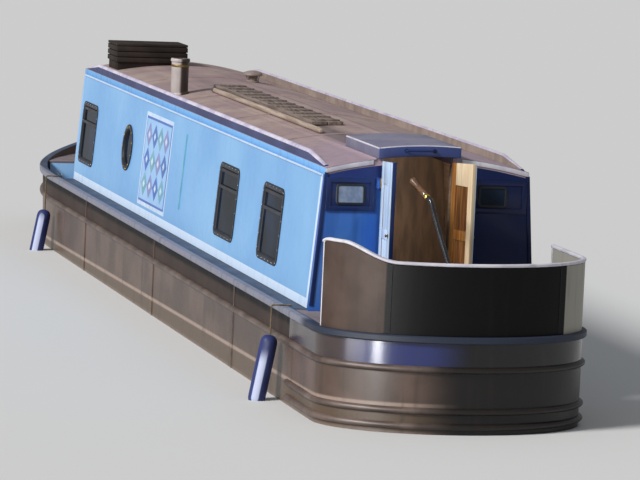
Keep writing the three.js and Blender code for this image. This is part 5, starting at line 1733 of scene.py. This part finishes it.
# %% Floor, steps and lining
refined("cabin_floor", lining, "plywood", 0.002)
refined("rear_steps", lining, "varnished_wood", 0.004)
lined = [(0.052, 1.10, 0.01, 0.97), (1.10, 1.81, 0.01, 0.18), (1.10, 1.81, 0.78, 0.97)]
lined += [(1.81, 2.17, 0.01, 0.97)]
for side, sign in sides.items():
    mesh = bmesh.new()
    for x0, x1, rise0, rise1 in lined:
        section = ((rise0, -0.0505), (rise1, -0.0505), (rise1, -0.0585), (rise0, -0.0585))
        places = (x0 + 0.0005, x1 - 0.0005)
        skin(mesh, [[on_side(sign, x, rise, out) for rise, out in section] for x in places])
    piece("side_lining_" + side, mesh, [lining], "varnished_wood", edge=0.001)
print(len(lined), "lining boards a side")

# %% Engine
aft, fore = along("engine")
low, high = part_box("engine")
sump, head, crank_z = low.z, high.z, 0.42
mesh = bmesh.new()
castings = [
    (aft + 0.10, fore - 0.08, 0.15, sump + 0.01, sump + 0.17),
    (aft + 0.12, fore - 0.06, 0.165, sump + 0.165, head - 0.16),
    (aft + 0.14, fore - 0.08, 0.13, head - 0.165, head - 0.075),
    (aft + 0.17, fore - 0.11, 0.085, head - 0.08, head - 0.002),
    (aft + 0.0005, aft + 0.13, 0.085, 0.18, 0.47),
    (aft + 0.14, aft + 0.21, high.y - 0.001, sump + 0.0005, sump + 0.05),
    (fore - 0.16, fore - 0.09, high.y - 0.001, sump + 0.0005, sump + 0.05),
]
for x0, x1, half, z0, z1 in castings:
    block(mesh, (x0, -half, z0), (x1, half, z1))
piece("engine_castings", mesh, [engine_enamel], "engine_paint", "engine", edge=0.006)
mesh = bmesh.new()
housing = [(0, 0.0), (0.19, 0.0), (0.198, 0.008), (0.198, 0.050), (0.17, 0.062), (0, 0.062)]
turn(mesh, housing, at(aft + 0.115, 0, crank_z), (1, 0, 0), 48)
pulley = [(0, 0.0), (0.07, 0.0), (0.072, 0.004), (0.058, 0.012), (0.072, 0.020), (0.070, 0.024)]
pulley += [(0.02, 0.026), (0.018, 0.045), (0, 0.045)]
turn(mesh, pulley, at(fore - 0.058, 0, crank_z - 0.08), (1, 0, 0), 32, 1)
manifold = [(0.2, 0.175, 0.6), (0.3, 0.19, 0.61), (0.5, 0.19, 0.61), (0.6, 0.18, 0.58), (0.62, 0.17, 0.5)]
tube(mesh, smooth_line([at(aft + x, -y, z) for x, y, z in manifold]), 0.022, 16, 1)
cap = [(0, 0.0), (0.012, 0.0), (0.012, 0.016), (0.008, 0.020), (0, 0.020)]
for k in range(4):
    turn(mesh, cap, at(aft + 0.2 + 0.11 * k, 0.105, head - 0.076), facets=16, finish=1)
piece("engine_turned_parts", mesh, [engine_enamel, oiled_steel], "engine_paint", angle=40)
print("engine", round(fore - aft, 2), "m long")

# %% Cabin lamp
lamp_colour = srgb("#fff0dd")[:3]
lamp_from = Vector((-0.8, 0.1, 0.6))
light("cabin_lamp", "AREA", at(1.05, 0.12, 2.12), lamp_from, 13, size=0.35, color=lamp_colour)
print("one lamp in the cabin")
